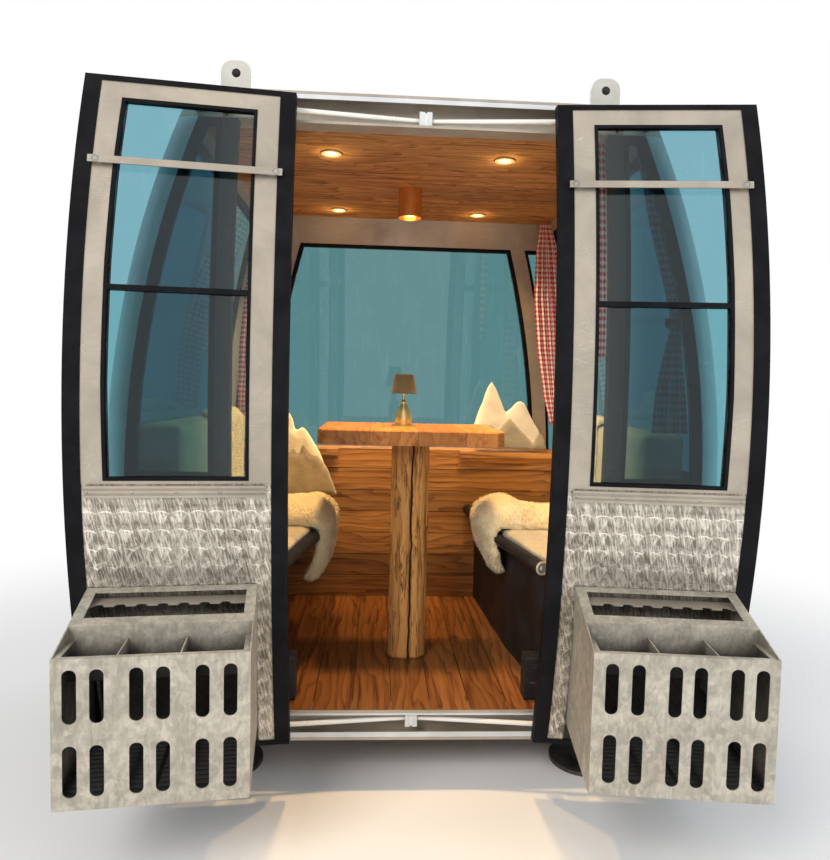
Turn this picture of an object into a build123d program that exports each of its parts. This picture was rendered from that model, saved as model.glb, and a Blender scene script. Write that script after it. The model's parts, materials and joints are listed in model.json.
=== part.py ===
from build123d import *
from math import sin, cos, tan, radians, sqrt
import os

# Cable car cabin turned into a sitting room, doors open.
# Millimetres. X is to the right seen from the door side, Y goes into
# the cabin, Z is up. While modelling, z = 0 is the floor's top and
# y = 0 is the sill's front edge; all is moved to the ground at the end.

# Driving dimensions of the body
GROUND = 220.0          # floor top above the ground
BASE_Z = -90.0          # underside of the sill ring
LOW_Z = -24.0           # underside of the floor boards
BELT_Z = 690.0          # lower edge of the windows
TOP_Z = 1762.0          # top of the body's walls
RING_H = 85.0           # height of the top ring
ROOF_H = 100.0          # rise of the roof in its middle
DEPTH = 1186.0          # sill front to rear foot of the body
END_X = 856.0           # half width at the widest height
END_Z = 600.0           # height of the widest place
END_R = 3550.0          # radius of the end walls
WALL = 30.0             # thickness of frames and posts
CORNER = 60.0           # radius of the body's corners
POST_W = 66.0           # width of a corner post
DOOR_X = 512.0          # half width between the jambs
JAMB = 42.0             # width of a jamb
FIT = 0.2               # gap of a piece laid into the shell
CEIL_DROP = 49.0        # underside of the ceiling below the walls' top
RING_Z = TOP_Z - RING_H
CEIL_Z = TOP_Z - CEIL_DROP
MID_Y = DEPTH / 2

# Driving dimensions of a door leaf
SPLAY = 6.8             # slant of the rods and leaves, degrees
OPEN_X = 349.0          # half of the open doorway
LEAF_W = 538.0          # width of a leaf
LEAF_T = 26.0           # thickness of a leaf
LEAF_OUT = 75.0         # leaf face in front of the body face
LEAF_LOW = -58.0        # lower edge of a leaf
LEAF_DROP = 36.0        # upper edge of a leaf below the walls' top
RUBBER = 40.0           # width of the rubber edging
PANEL_TOP = 700.0       # top of the leaf's lower sheet
ROD_R = 7.0             # radius of a guide rod
ROD_Y = 24.0            # rod behind the sill's front edge, mid door
ROD_LOW_Z = -32.0       # height of the lower rods
ROD_DROP = 60.0         # upper rods below the walls' top
ROD_TOP_Z = TOP_Z - ROD_DROP
LEAF_TOP = TOP_Z - LEAF_DROP

# Driving dimensions of a door basket
BASKET_U = 77.0         # inner side from the leaf's inner edge
BASKET_SIDE = 1.0       # outer side from the leaf's edging
BASKET_W = LEAF_W - RUBBER - BASKET_SIDE - BASKET_U
BASKET_D = 288.0
BASKET_LOW = 19.0
BASKET_LIP = 357.0
BASKET_BACK = 435.0
SHEET = 3.0             # sheet thickness of a basket

FRONT_PTS = [(6.0, BASE_Z), (-130.0, 830.0), (-20.0, TOP_Z)]


def circle3(a, b, c):
    d = 2 * (a[0] * (b[1] - c[1]) + b[0] * (c[1] - a[1]) + c[0] * (a[1] - b[1]))
    sa = a[0] ** 2 + a[1] ** 2
    sb = b[0] ** 2 + b[1] ** 2
    sc = c[0] ** 2 + c[1] ** 2
    y = (sa * (b[1] - c[1]) + sb * (c[1] - a[1]) + sc * (a[1] - b[1])) / d
    z = (sa * (c[0] - b[0]) + sb * (a[0] - c[0]) + sc * (b[0] - a[0])) / d
    return y, z, sqrt((a[0] - y) ** 2 + (a[1] - z) ** 2)


ARC_Y, ARC_Z, ARC_R = circle3(*FRONT_PTS)


def front_y(z):
    return ARC_Y - sqrt(ARC_R ** 2 - (z - ARC_Z) ** 2)


def end_x(z):
    return END_X - END_R + sqrt(END_R ** 2 - (z - END_Z) ** 2)


def block(x0, x1, y0, y1, z0, z1):
    middle = Pos((x0 + x1) / 2, (y0 + y1) / 2, (z0 + z1) / 2)
    return middle * Box(abs(x1 - x0), abs(y1 - y0), abs(z1 - z0))


# All of the space around the body between two heights
def band(z0, z1, y0=-400.0, y1=DEPTH + 400.0, half=END_X + 400.0):
    return block(-half, half, y0, y1, z0, z1)


def prism(pts, z0, z1):
    return Pos(0, 0, z0) * extrude(make_face(Polyline(*pts, close=True)), z1 - z0)


def rod_along(p, q, r):
    a = Vector(*p)
    b = Vector(*q)
    return Solid.make_cylinder(r, (b - a).length, Plane(origin=a, z_dir=(b - a).normalized()))


def turned(r, h, x, y, z):
    return Pos(x, y, z + h / 2) * Cylinder(r, h)


def cyl_x(r, y, z, half=1500.0):
    return Pos(0, y, z) * Rot(0, 90, 0) * Cylinder(r, 2 * half)


def cyl_y(r, x, z, half=1500.0):
    return Pos(x, MID_Y, z) * Rot(90, 0, 0) * Cylinder(r, 2 * half)


# The two pairs of curved faces that bound the body
def between_fronts(off, z0, z1):
    s = band(z0, z1)
    s &= cyl_x(ARC_R - off, ARC_Y, ARC_Z)
    s &= cyl_x(ARC_R - off, DEPTH - ARC_Y, ARC_Z)
    return s


def between_ends(off, z0, z1):
    s = band(z0, z1)
    s &= cyl_y(END_R - off, END_X - END_R, END_Z)
    s &= cyl_y(END_R - off, END_R - END_X, END_Z)
    return s


FORMS = {}


def body_form(off, z0, z1, radius):
    key = (off, radius)
    if key not in FORMS:
        low = BASE_Z - 10
        high = TOP_Z + 10
        s = between_fronts(off, low, high) & between_ends(off, low, high)
        edges = [e for e in s.edges() if abs((e @ 0).Z - (e @ 1).Z) > 0.9 * (high - low)]
        FORMS[key] = s.fillet(radius, edges)
    return FORMS[key] & band(z0, z1)


def solids(shape):
    return sorted(shape.solids(), key=lambda v: (round(v.center().X), round(v.center().Y), v.center().Z))


def one(shape):
    found = solids(shape)
    return found[0] if len(found) == 1 else Compound(found)


def mirrored(shape):
    return shape.mirror(Plane.YZ)


PARTS = {}


def put(name, *shapes):
    flat = []
    for shape in shapes:
        flat.extend(solids(shape))
    PARTS[name] = flat


# Shell
outer = body_form(0, BASE_Z, TOP_Z, CORNER)
inner = body_form(WALL, BASE_Z - 5, TOP_Z + 5, CORNER - WALL)
shell = outer - inner
mid_fronts = between_fronts(POST_W, BASE_Z - 5, TOP_Z + 5)
mid_ends = between_ends(POST_W, BASE_Z - 5, TOP_Z + 5)

posts = (shell & band(LOW_Z, RING_Z)) - mid_fronts - mid_ends
put("corner_posts", posts)

# Sill ring, floor and top ring
base_ring = outer - body_form(90.0, BASE_Z - 5, LOW_Z + 5, 20.0)
base_ring &= band(BASE_Z, LOW_Z)
BEAM_Y = 233.0
BEAM_W = 60.0
beams = band(BASE_Z, LOW_Z, MID_Y - BEAM_Y - BEAM_W / 2, MID_Y - BEAM_Y + BEAM_W / 2)
beams += band(BASE_Z, LOW_Z, MID_Y + BEAM_Y - BEAM_W / 2, MID_Y + BEAM_Y + BEAM_W / 2)
beams &= body_form(90.0, BASE_Z, LOW_Z, 20.0)
sill_box = block(-DOOR_X - JAMB, DOOR_X + JAMB, -60, 62, BASE_Z - 5, 5)

floor = body_form(WALL + FIT, LOW_Z, 0, 31.0) - sill_box
FLOOR_PITCH = 118.0
for i in range(-6, 7):
    floor -= block(i * FLOOR_PITCH + 58, i * FLOOR_PITCH + 60, -100, DEPTH + 200, -2.0, 1)
put("floor_boards", floor)

SILL_X = DOOR_X + JAMB
sill = block(-SILL_X, SILL_X, 0, 62, -90, 0) - block(-SILL_X - 1, SILL_X + 1, -1, 54, -82, -8)
put("door_sill", sill)

HEAD_Y = front_y((RING_Z + TOP_Z) / 2)
header = block(-SILL_X, SILL_X, HEAD_Y, HEAD_Y + 62, RING_Z, TOP_Z)
header -= block(-SILL_X - 1, SILL_X + 1, HEAD_Y - 1, HEAD_Y + 54, RING_Z + 7, TOP_Z - 7)
put("door_header", header)

top_ring = shell & band(RING_Z, TOP_Z)
flange = body_form(WALL - 1, TOP_Z - 20, TOP_Z, 30.0)
flange -= body_form(150.0, TOP_Z - 25, TOP_Z + 5, 15.0)
header_box = block(-SILL_X, SILL_X, -200, HEAD_Y + 62, RING_Z - 5, TOP_Z + 5)
top_ring = (top_ring + flange) - header_box
put("top_ring", top_ring)

jamb = shell & block(DOOR_X, DOOR_X + JAMB, -300, 200, LOW_Z, RING_Z)
jamb -= block(0, 700, -100, 62, LOW_Z - 5, 0)
put("door_jambs", jamb, mirrored(jamb))

# Guide rods, with a bracket in the middle and one past each jamb
SLOPE = tan(radians(SPLAY))
ROD_ENDS = {ROD_LOW_Z: 740.0, ROD_TOP_Z: 620.0}


def rods(z, y0):
    s = None
    end = ROD_ENDS[z]
    for side in (-1, 1):
        r = rod_along((side * 2, y0 - 2 * SLOPE, z), (side * end, y0 - end * SLOPE, z), ROD_R)
        s = r if s is None else s + r
    return s


def rod_set(z, y0, back_y, z0, z1):
    end = ROD_ENDS[z]
    s = rods(z, y0) + block(-9, 9, y0 - 16, back_y, z - 18, z + 18)
    y_end = y0 - (end - 8) * SLOPE
    for side in (-1, 1):
        s += block(side * (end - 16), side * (end + 2), y_end - 14, 60, z - 18, z + 18)
    open_part = s & block(-SILL_X, SILL_X, -300, back_y, z0, z1)
    return (s - body_form(-FIT, BASE_Z - 5, TOP_Z + 5, CORNER)) + open_part


low_rods = rod_set(ROD_LOW_Z, ROD_Y, 54, -82, -8)
top_rods = rod_set(ROD_TOP_Z, HEAD_Y + ROD_Y, HEAD_Y + 54, RING_Z + 7, TOP_Z - 7)
put("guide_rods", low_rods, top_rods)

# Lower panels, windows and their rubber
PANEL_IN = 4.0
SKIN_T = 18.0


def skin(z_top):
    s = body_form(PANEL_IN, LOW_Z, z_top, 54.0)
    return s - body_form(PANEL_IN + SKIN_T, LOW_Z - 5, z_top + 5, 36.0)


front_only = band(LOW_Z - 500, TOP_Z + 500, -400, MID_Y)
rear_only = band(LOW_Z - 500, TOP_Z + 500, MID_Y)
no_middle = block(-450, 450, -400, DEPTH + 400, LOW_Z - 500, TOP_Z + 500)
front_zone = mid_ends - block(-SILL_X, SILL_X, -400, 300, LOW_Z - 500, TOP_Z + 500)
panels = (skin(BELT_Z) & front_zone & front_only) - posts
end_panels = (skin(BELT_Z) & mid_fronts) - no_middle

REAR_SILL = 650.0
REAR_DROP = 77.0
REAR_TOP = RING_Z - REAR_DROP
put("lower_panels", panels, end_panels, skin(REAR_SILL) & mid_ends & rear_only)

# The rear wall's window frame: a beam above and a post on each side
rear_wall = shell & mid_ends & rear_only & band(REAR_SILL, RING_Z)
rear_open = between_ends(222.0, REAR_SILL, REAR_TOP) & rear_only
side_open = between_ends(POST_W, REAR_SILL, REAR_TOP)
side_open = (side_open - between_ends(160.0, REAR_SILL - 5, REAR_TOP + 5)) & rear_only
put("rear_frame", rear_wall - rear_open - side_open)


# A pane in a rubber frame, cut from the shell inside an outline
def glazed(zone_out, zone_in):
    layer = body_form(3.0, BASE_Z, TOP_Z, 55.0) - body_form(25.0, BASE_Z - 5, TOP_Z + 5, 33.0)
    glass = body_form(11.0, BASE_Z, TOP_Z, 47.0) - body_form(16.0, BASE_Z - 5, TOP_Z + 5, 42.0)
    return (layer & zone_out) - zone_in, glass & zone_in


def beside_door(half):
    return block(-half, half, -400, MID_Y, 0, TOP_Z + 500)


front_out = (between_ends(POST_W, BELT_Z, RING_Z) & front_only) - beside_door(SILL_X)
front_in = between_ends(POST_W + 28, BELT_Z + 26, RING_Z - 20) & front_only
f_rub, f_pane = glazed(front_out, front_in - beside_door(SILL_X + 16))

end_out = between_fronts(POST_W, BELT_Z, RING_Z) - no_middle
end_in = between_fronts(POST_W + 24, BELT_Z + 26, RING_Z - 20) - no_middle
e_rub, e_pane = glazed(end_out, end_in)

rear_in = between_ends(240.0, REAR_SILL + 18, REAR_TOP - 14) & rear_only
r_rub, r_pane = glazed(rear_open, rear_in)
side_in = between_ends(POST_W + 14, REAR_SILL + 18, REAR_TOP - 14) & rear_only
side_in -= between_ends(146.0, 0, TOP_Z + 500)
s_rub, s_pane = glazed(side_open, side_in)

put("window_rubbers", f_rub, e_rub, r_rub, s_rub)
put("window_panes", f_pane, e_pane, s_pane, r_pane)

# Roof: a shallow pillow, hollow below
ROOF_X = end_x(TOP_Z)
ROOF_Y0 = front_y(TOP_Z)


def pillow(rise, inset, z0):
    hx = ROOF_X - inset
    hy = MID_Y - ROOF_Y0 - inset
    rx = (hx ** 2 + rise ** 2) / (2 * rise)
    ry = (hy ** 2 + rise ** 2) / (2 * rise)
    s = Pos(0, MID_Y, z0 + 150) * Box(2 * hx, 2 * hy, 300)
    s = s.fillet(CORNER - 5, s.edges().filter_by(Axis.Z))
    s &= Pos(0, MID_Y, z0 + rise - rx) * Rot(90, 0, 0) * Cylinder(rx, 4000)
    s &= Pos(0, MID_Y, z0 + rise - ry) * Rot(0, 90, 0) * Cylinder(ry, 4000)
    return s


roof = pillow(ROOF_H + 12, -6, TOP_Z - 12) & band(TOP_Z, TOP_Z + 300)
roof -= pillow(ROOF_H - 12, 60, TOP_Z - 12)

# Lifting lugs at the four corners of the roof
LUG_IN = 108.438
LUG_X = ROOF_X - LUG_IN
LUG_Y = 130.0
LUG_W = 88.0
LUG_T = 16.0
LUG_H = 140.0
LUG_EYE_H = 104.0
LUG_HOLE_R = 11.0
LUG_FOOT = 32.0
LUG_TOP = TOP_Z + LUG_H


def lug(x, y):
    s = block(x - LUG_W / 2, x + LUG_W / 2, y - LUG_T / 2, y + LUG_T / 2, TOP_Z, LUG_TOP)
    s = s.fillet(34, [e for e in s.edges().filter_by(Axis.Y) if e.center().Z > LUG_TOP - 1])
    s += block(x - LUG_W / 2, x + LUG_W / 2, y - LUG_FOOT, y + LUG_FOOT, TOP_Z, TOP_Z + 10)
    return s - Pos(x, y, TOP_Z + LUG_EYE_H) * Rot(90, 0, 0) * Cylinder(LUG_HOLE_R, 60)


LUGS = [(sx * LUG_X, y) for sx in (-1, 1) for y in (LUG_Y, DEPTH - LUG_Y)]
# columns: half depth of the slot, its top
for half, high in ((LUG_FOOT + FIT, TOP_Z + 10 + FIT), (LUG_T / 2 + FIT, TOP_Z + 500)):
    for x, y in LUGS:
        slot_x = LUG_W / 2 + FIT
        roof -= block(x - slot_x, x + slot_x, y - half, y + half, TOP_Z - 5, high)
put("roof", roof)
put("roof_lugs", *[lug(x, y) for x, y in LUGS])

# Ceiling boards, with lamps
CEIL_T = 14.0
ceiling = body_form(WALL + FIT, CEIL_Z, CEIL_Z + CEIL_T, 31.0)
ceiling -= block(-SILL_X - FIT, SILL_X + FIT, -200, HEAD_Y + 62 + FIT, RING_Z, TOP_Z)
# columns: x, y
SPOTS = ((-285, 322), (285, 322), (-300, DEPTH - 134), (300, DEPTH - 134))
spots = []
for x, y in SPOTS:
    ceiling -= turned(26 + FIT, 60, x, y, CEIL_Z - 20)
    cup = turned(26, 22, x, y, CEIL_Z) + turned(33, 4, x, y, CEIL_Z - 4)
    spots.append(cup - turned(20, 12, x, y, CEIL_Z - 5))
for i in range(1, 12):
    y = i * 104.0
    ceiling -= band(CEIL_Z - 1, CEIL_Z + 2, y - 1, y + 1)
put("ceiling_boards", ceiling)
put("ceiling_spots", *spots)

PEND = (-8.0, 705.0)
PEND_H = 108.0
PEND_Z = CEIL_Z - PEND_H
pendant = turned(45, PEND_H, PEND[0], PEND[1], PEND_Z)
pendant -= turned(42.5, PEND_H - 4, PEND[0], PEND[1], PEND_Z - 1)
pendant += turned(16, PEND_H / 2, PEND[0], PEND[1], CEIL_Z - PEND_H / 2)
put("copper_lamp", pendant)

# Wood lining of the rear wall, a board below the window and a shelf
# with an apron on each side
LINE_GAP = 56.0         # lining's face before the rear foot of the body
LINE_Y = DEPTH - LINE_GAP
LINE_T = 16.0
SHELF_Z = REAR_SILL + 26
SHELF_D = 62.0
lining = band(0, SHELF_Z - LINE_T - FIT, LINE_Y, LINE_Y + LINE_T)
for i in range(1, 7):
    lining -= band(i * 98.0 - 1, i * 98.0 + 1, LINE_Y - 1, LINE_Y + 2)
board = band(SHELF_Z - LINE_T, SHELF_Z, LINE_Y)
inside = body_form(WALL + FIT, 0, CEIL_Z, 31.0)
shelves = []
for x0, x1 in ((255, END_X), (-END_X, -288)):
    shelf = block(x0, x1, LINE_Y - SHELF_D, LINE_Y - FIT, SHELF_Z - 26, SHELF_Z)
    shelf += block(x0, x1, LINE_Y - 16, LINE_Y - FIT, SHELF_Z - 84, SHELF_Z - 26)
    shelves.append(shelf & inside)
put("rear_lining", lining & inside, board & inside, *shelves)

# A round tube below the inner edge of each seat; columns: x, y
SEAT_Z = 445.0
SEAT_T = 44.0
TUBE_R = 20.0
TUBE_Z = SEAT_Z - 36
TUBE_LINE = [(401, 84), (334, 500), (302, LINE_Y)]


def seat_tube(r):
    (xa, ya), (xb, yb), (xc, yc) = TUBE_LINE
    s = rod_along((xa, ya, TUBE_Z), (xb, yb, TUBE_Z), r) + Pos(xb, yb, TUBE_Z) * Sphere(r)
    s += rod_along((xb, yb, TUBE_Z), (xc, yc + 20 * (yc - yb) / 600, TUBE_Z), r)
    return s & band(0, SEAT_Z + 100, 0, LINE_Y - FIT)


# Benches: a seat board on each side, wider at the rear
BACK_X = 692.0
BACK_TOP = 835.0
SEAT_PLAN = [(316, LINE_Y - FIT), (348, 500), (392, 150), (415, 80), (1000, 80), (1000, LINE_Y - FIT)]
seat = (prism(SEAT_PLAN, SEAT_Z - SEAT_T, SEAT_Z) & inside) - seat_tube(TUBE_R + FIT)
put("bench_seats", seat, mirrored(seat))

back = block(BACK_X, 1000, 60, LINE_Y - 64, SEAT_Z, BACK_TOP) & inside
back_edges = [e for e in back.edges().filter_by(Axis.Y) if e.center().X < BACK_X + 1]
back = back.fillet(14, [e for e in back_edges if e.center().Z > BACK_TOP - 30])
put("seat_backs", back, mirrored(back))

BOX_PLAN = [(340, LINE_Y - FIT), (375, 500), (424, 130), (760, 130), (760, LINE_Y - FIT)]
put("bench_chest", prism(BOX_PLAN, 0, SEAT_Z - SEAT_T) & inside)

LEG_TOP = SEAT_Z - SEAT_T
legs = block(-520, -490, 150, 190, 0, LEG_TOP) + block(-520, -490, 900, 940, 0, LEG_TOP)
legs += block(-520, -490, 150, 940, LEG_TOP - 40, LEG_TOP)
put("bench_frames", legs, seat_tube(TUBE_R), mirrored(seat_tube(TUBE_R)))

# Table on a hewn post
TABLE_Z = 812.0
TABLE_T = 50.0
TABLE = [(-292, 300), (288, 300), (318, 345), (318, 800), (-318, 800), (-318, 345)]
top = prism(TABLE, TABLE_Z - TABLE_T, TABLE_Z)
top = top.chamfer(3, None, top.faces().sort_by(Axis.Z)[-1].edges())
put("table_top", top)

POST_C = (3.0, 458.0)
POST_PLAN = [(-69, -40), (-52, -66), (-8, -70), (40, -67), (66, -44)]
POST_PLAN += [(70, 10), (62, 52), (30, 70), (-36, 68), (-66, 44)]
post = Pos(POST_C[0], POST_C[1], 0) * prism(POST_PLAN, 0, TABLE_Z - TABLE_T)
post = post.chamfer(8, None, post.edges().filter_by(Axis.Z))
put("table_post", post)

LAMP = (-20.0, 600.0, TABLE_Z)
stand = turned(38, 8, *LAMP) + turned(31, 26, LAMP[0], LAMP[1], LAMP[2] + 8)
stand += Pos(LAMP[0], LAMP[1], LAMP[2] + 62) * Cone(31, 12, 56)
stand += turned(4, 50, LAMP[0], LAMP[1], LAMP[2] + 88)
stand += turned(12, 18, LAMP[0], LAMP[1], LAMP[2] + 134)
put("lamp_stand", stand)
LAMP_X, LAMP_Y = LAMP[0], LAMP[1]
SHADE_AT = Pos(LAMP_X, LAMP_Y, TABLE_Z + 158)
HUB_Z = TABLE_Z + 152
shade = SHADE_AT * Cone(49, 35, 72) - SHADE_AT * Cone(47.6, 33.2, 74)
spokes = block(LAMP_X - 44, LAMP_X + 44, LAMP_Y - 3, LAMP_Y + 3, HUB_Z, HUB_Z + 3)
shade += turned(12, 4, LAMP_X, LAMP_Y, HUB_Z) + (spokes & (SHADE_AT * Cone(48.6, 34.6, 72)))
put("lamp_shade", shade)

# Sheepskins: one over each seat, hanging over its inner edge and the
# tube, and up over the seat's back
HIDE_T = 34.0
FLAP_T = 24.0
HANG = 0.5


def tube_x(y):
    (xb, yb), (xc, yc) = TUBE_LINE[1:]
    return xb + (xc - xb) * (y - yb) / (yc - yb)


def hide(y0, y1, drop, up0, up1):
    near = [(tube_x(y) - TUBE_R - HANG, y) for y in (y0 + 25, y1 - 25)]
    far = [(x - FLAP_T, y) for x, y in near]
    s = block(near[0][0], BACK_X - HANG, y0, y1, SEAT_Z, SEAT_Z + HIDE_T)
    s = s.fillet(24, s.edges().filter_by(Axis.Z))
    s += prism(near + far[::-1], SEAT_Z - drop, SEAT_Z + HIDE_T)
    s += prism([near[0], near[1], (400, y1 - 25), (400, y0 + 25)], SEAT_Z, SEAT_Z + HIDE_T)
    rise = block(BACK_X - HIDE_T, BACK_X + 62, up0, up1, SEAT_Z + 5, BACK_TOP + 22)
    rise = rise.fillet(20, [e for e in rise.edges().filter_by(Axis.Y) if e.center().Z > BACK_TOP])
    return s + (rise - block(BACK_X - HANG, END_X, 0, DEPTH, SEAT_Z, BACK_TOP + HANG))


hide_r = hide(LINE_Y - 660, LINE_Y - 270, 150, LINE_Y - 640, LINE_Y - 300)
hide_l = mirrored(hide(LINE_Y - 650, LINE_Y - 230, 190, LINE_Y - 640, LINE_Y - 270))
put("sheepskins", hide_r, hide_l)

# Cushions in the form of two peaks; columns: x, height above their seat
RIGHT_PEAKS = [(300, 0), (372, 279), (392, 309), (412, 279), (462, 152)]
RIGHT_PEAKS += [(508, 217), (524, 229), (540, 214), (650, 0)]
LEFT_PEAKS = [(-286, 0), (-330, 115), (-418, 320), (-436, 335), (-456, 305)]
LEFT_PEAKS += [(-474, 385), (-486, 397), (-500, 377), (-640, 0)]


def upright(pts, y0, y1):
    s = extrude(make_face(Plane.XZ * Polyline(*pts, close=True)), y1 - y0)
    return Pos(0, y0 - s.bounding_box().min.Y, 0) * s


def peaks(pts, z, y0, y1):
    return upright([(x, z + h) for x, h in pts], y0, y1)


right_peaks = peaks(RIGHT_PEAKS, SHELF_Z, LINE_Y - 50, LINE_Y + 30)
put("peak_cushions", right_peaks, peaks(LEFT_PEAKS, SEAT_Z, LINE_Y - 150, LINE_Y - 66))

# Curtains as thin bodies close to the wall; columns: x, height as a
# part of the way from the belt up to the ceiling
CURT_T = 14.0
REAR_CURTAIN = [(590, 1), (640, 1), (700, 0.85), (742, 0.5), (742, 0.205)]
REAR_CURTAIN += [(735, 0.088), (706, 0.088), (690, 0.303), (640, 0.596)]
DOOR_CURTAIN = [(500, 1), (540, 1), (560, 0.596), (566, 0.362), (534, 0.391), (520, 0.694)]
FRONT_CURTAIN = [(600, 1), (655, 1), (720, 0.694), (756, 0.489), (800, 0.186)]
FRONT_CURTAIN += [(806, 0.147), (690, 0.143), (712, 0.4), (716, 0.46), (640, 0.743)]


def hanging(pts, y):
    high = CEIL_Z - FIT - BELT_Z
    return upright([(x, BELT_Z + part * high) for x, part in pts], y, y + CURT_T)


room = body_form(WALL + 2, 0, TOP_Z, 28.0)
rear_curtain = hanging(REAR_CURTAIN, LINE_Y + 10) & room
front_curtain = hanging(FRONT_CURTAIN, 40) & room
put("curtains", hanging(DOOR_CURTAIN, 62), rear_curtain, mirrored(rear_curtain), front_curtain)

# Covers of the door gear, just inside the sill
cover = block(352, 500, 64, 124, 0, 136)
cover = cover.chamfer(6, None, cover.edges().filter_by(Axis.X))
put("gear_covers", cover, mirrored(cover))

# Feet: a drum on a round plate under each corner
FOOT_X = 565.0
FOOT_Y = 125.0
feet = []
for sx in (-1, 1):
    for y in (FOOT_Y, DEPTH - FOOT_Y):
        f = turned(110, 12, sx * FOOT_X, y, -GROUND)
        f += turned(44, GROUND + BASE_Z - 12, sx * FOOT_X, y, -GROUND + 12)
        f += turned(60, 10, sx * FOOT_X, y, BASE_Z - 10)
        feet.append(f)
plates = None
for sx in (-1, 1):
    for y in (FOOT_Y, DEPTH - FOOT_Y):
        p = block(sx * FOOT_X - 75, sx * FOOT_X + 75, y - 75, y + 75, BASE_Z, BASE_Z + 8)
        plates = p if plates is None else plates + p
put("round_feet", *feet)
put("base_ring", (base_ring + beams + plates) - sill_box)


# Door leaf, drawn with its inner edge at x = 0 and moved outwards at
# the end. Its faces are arcs that run along the slanted rods.
LEAF_R = ARC_R + LEAF_OUT
LEAF_AXIS_Y = ARC_Y + LEAF_R * (1 / cos(radians(SPLAY)) - 1)


def leaf_cyl(r):
    return Pos(0, LEAF_AXIS_Y, ARC_Z) * Rot(0, 0, -SPLAY) * Rot(0, 90, 0) * Cylinder(r, 4000)


def leaf_band(a, b, z0, z1, u0=-50.0, u1=700.0):
    s = block(u0, u1, -500, 200, z0, z1) & leaf_cyl(LEAF_R - a)
    return s - leaf_cyl(LEAF_R - b)


def leaf_face(z):
    return ARC_Y - sqrt(LEAF_R ** 2 - (z - ARC_Z) ** 2)


def outline(inset_in, inset_out, z0, z1):
    mid = 780.0

    def w(z):
        return LEAF_W - 22.6e-6 * (z - mid) ** 2 - inset_out

    edge = Line((inset_in, z0), (w(z0), z0))
    arc = ThreePointArc((w(z0), z0), (w((z0 + z1) / 2), (z0 + z1) / 2), (w(z1), z1))
    top = Line((w(z1), z1), (inset_in, z1))
    side = Line((inset_in, z1), (inset_in, z0))
    face = make_face(Plane.XZ * (edge + arc + top + side))
    s = extrude(face, 800)
    return Pos(0, -500 - s.bounding_box().min.Y, 0) * s


# The leaf's window; columns of its outer edge: width, part of its height
WIN_IN = 96.0
WIN_LOW = PANEL_TOP + 8
WIN_DROP = 57.0
WIN_TOP = LEAF_TOP - WIN_DROP
WIN_EDGE = ((447, 0), (450, 0.252), (446, 0.564), (438, 0.803), (427, 1))
DIVIDE_Z = 1187.0
leaf_all = outline(0, 0, LEAF_LOW, LEAF_TOP)
sheet_zone = outline(RUBBER, RUBBER, LEAF_LOW + 14, LEAF_TOP - 14)
edging = (leaf_band(0, LEAF_T, LEAF_LOW, LEAF_TOP) & leaf_all) - sheet_zone
win_pts = [(WIN_IN, WIN_LOW)]
win_pts += [(x, WIN_LOW + part * (WIN_TOP - WIN_LOW)) for x, part in WIN_EDGE]
win_pts.append((WIN_IN, WIN_TOP))
win_face = make_face(Plane.XZ * Polyline(*win_pts, close=True))
win_zone = Pos(0, -500, 0) * extrude(win_face, -800)


frame = leaf_band(3, LEAF_T - 3, PANEL_TOP, LEAF_TOP) & sheet_zone
frame -= win_zone
panel = leaf_band(4, LEAF_T - 4, LEAF_LOW, PANEL_TOP) & sheet_zone
pane_zone = Pos(0, -500, 0) * extrude(offset(win_face, -9), -800)
gasket = (leaf_band(1, LEAF_T - 2, WIN_LOW, WIN_TOP) & win_zone) - pane_zone
gasket += leaf_band(1, LEAF_T - 2, DIVIDE_Z - 7, DIVIDE_Z + 7) & win_zone
panes = leaf_band(10, 15, WIN_LOW, WIN_TOP) & pane_zone
panes -= block(-50, 700, -500, 200, DIVIDE_Z - 7, DIVIDE_Z + 7)

# A ribbed strip below the window and a strap across it
STRIP_U = (RUBBER + 12, LEAF_W - RUBBER - 8)
strip = leaf_band(-4, 4 - FIT, PANEL_TOP - 34, PANEL_TOP - 4, *STRIP_U)
for low in (34, 22, 10):
    strip += leaf_band(-8, -3, PANEL_TOP - low, PANEL_TOP - low + 6, *STRIP_U)
STRAP_DROP = 225.0
strap_z = LEAF_TOP - STRAP_DROP
strap = leaf_band(-12, -7, strap_z - 9, strap_z + 9, 26, 492)
for u in (44, 462):
    strap += leaf_band(-7, 3, strap_z - 9, strap_z + 9, u, u + 20)

# Basket of folded sheet: open to the leaf behind and above, with two
# rows of slots in front and a plate with a long hole over its back.
# BAY_WALLS, NOTCHES and SLOT_PARTS are parts of its width; the slots
# were measured in mm on a basket 420 wide.
BAY_D = 118.0
BAY_WALLS = (0.36, 0.68)
NOTCHES = (0.3, 0.42, 0.54, 0.66, 0.78)
SLOT_PARTS = [u / 420.0 for u in (43.6, 104.0, 188.0, 244.0, 326.0, 382.0)]
SLOT_ROWS = ((-144, -24), (-309, -193))
SLOT_HALF = 15.0


def cross(pts, u0, u1):
    face = make_face(Plane.YZ * Polyline(*pts, close=True))
    return Pos(u0, 0, 0) * extrude(face, u1 - u0)


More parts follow.
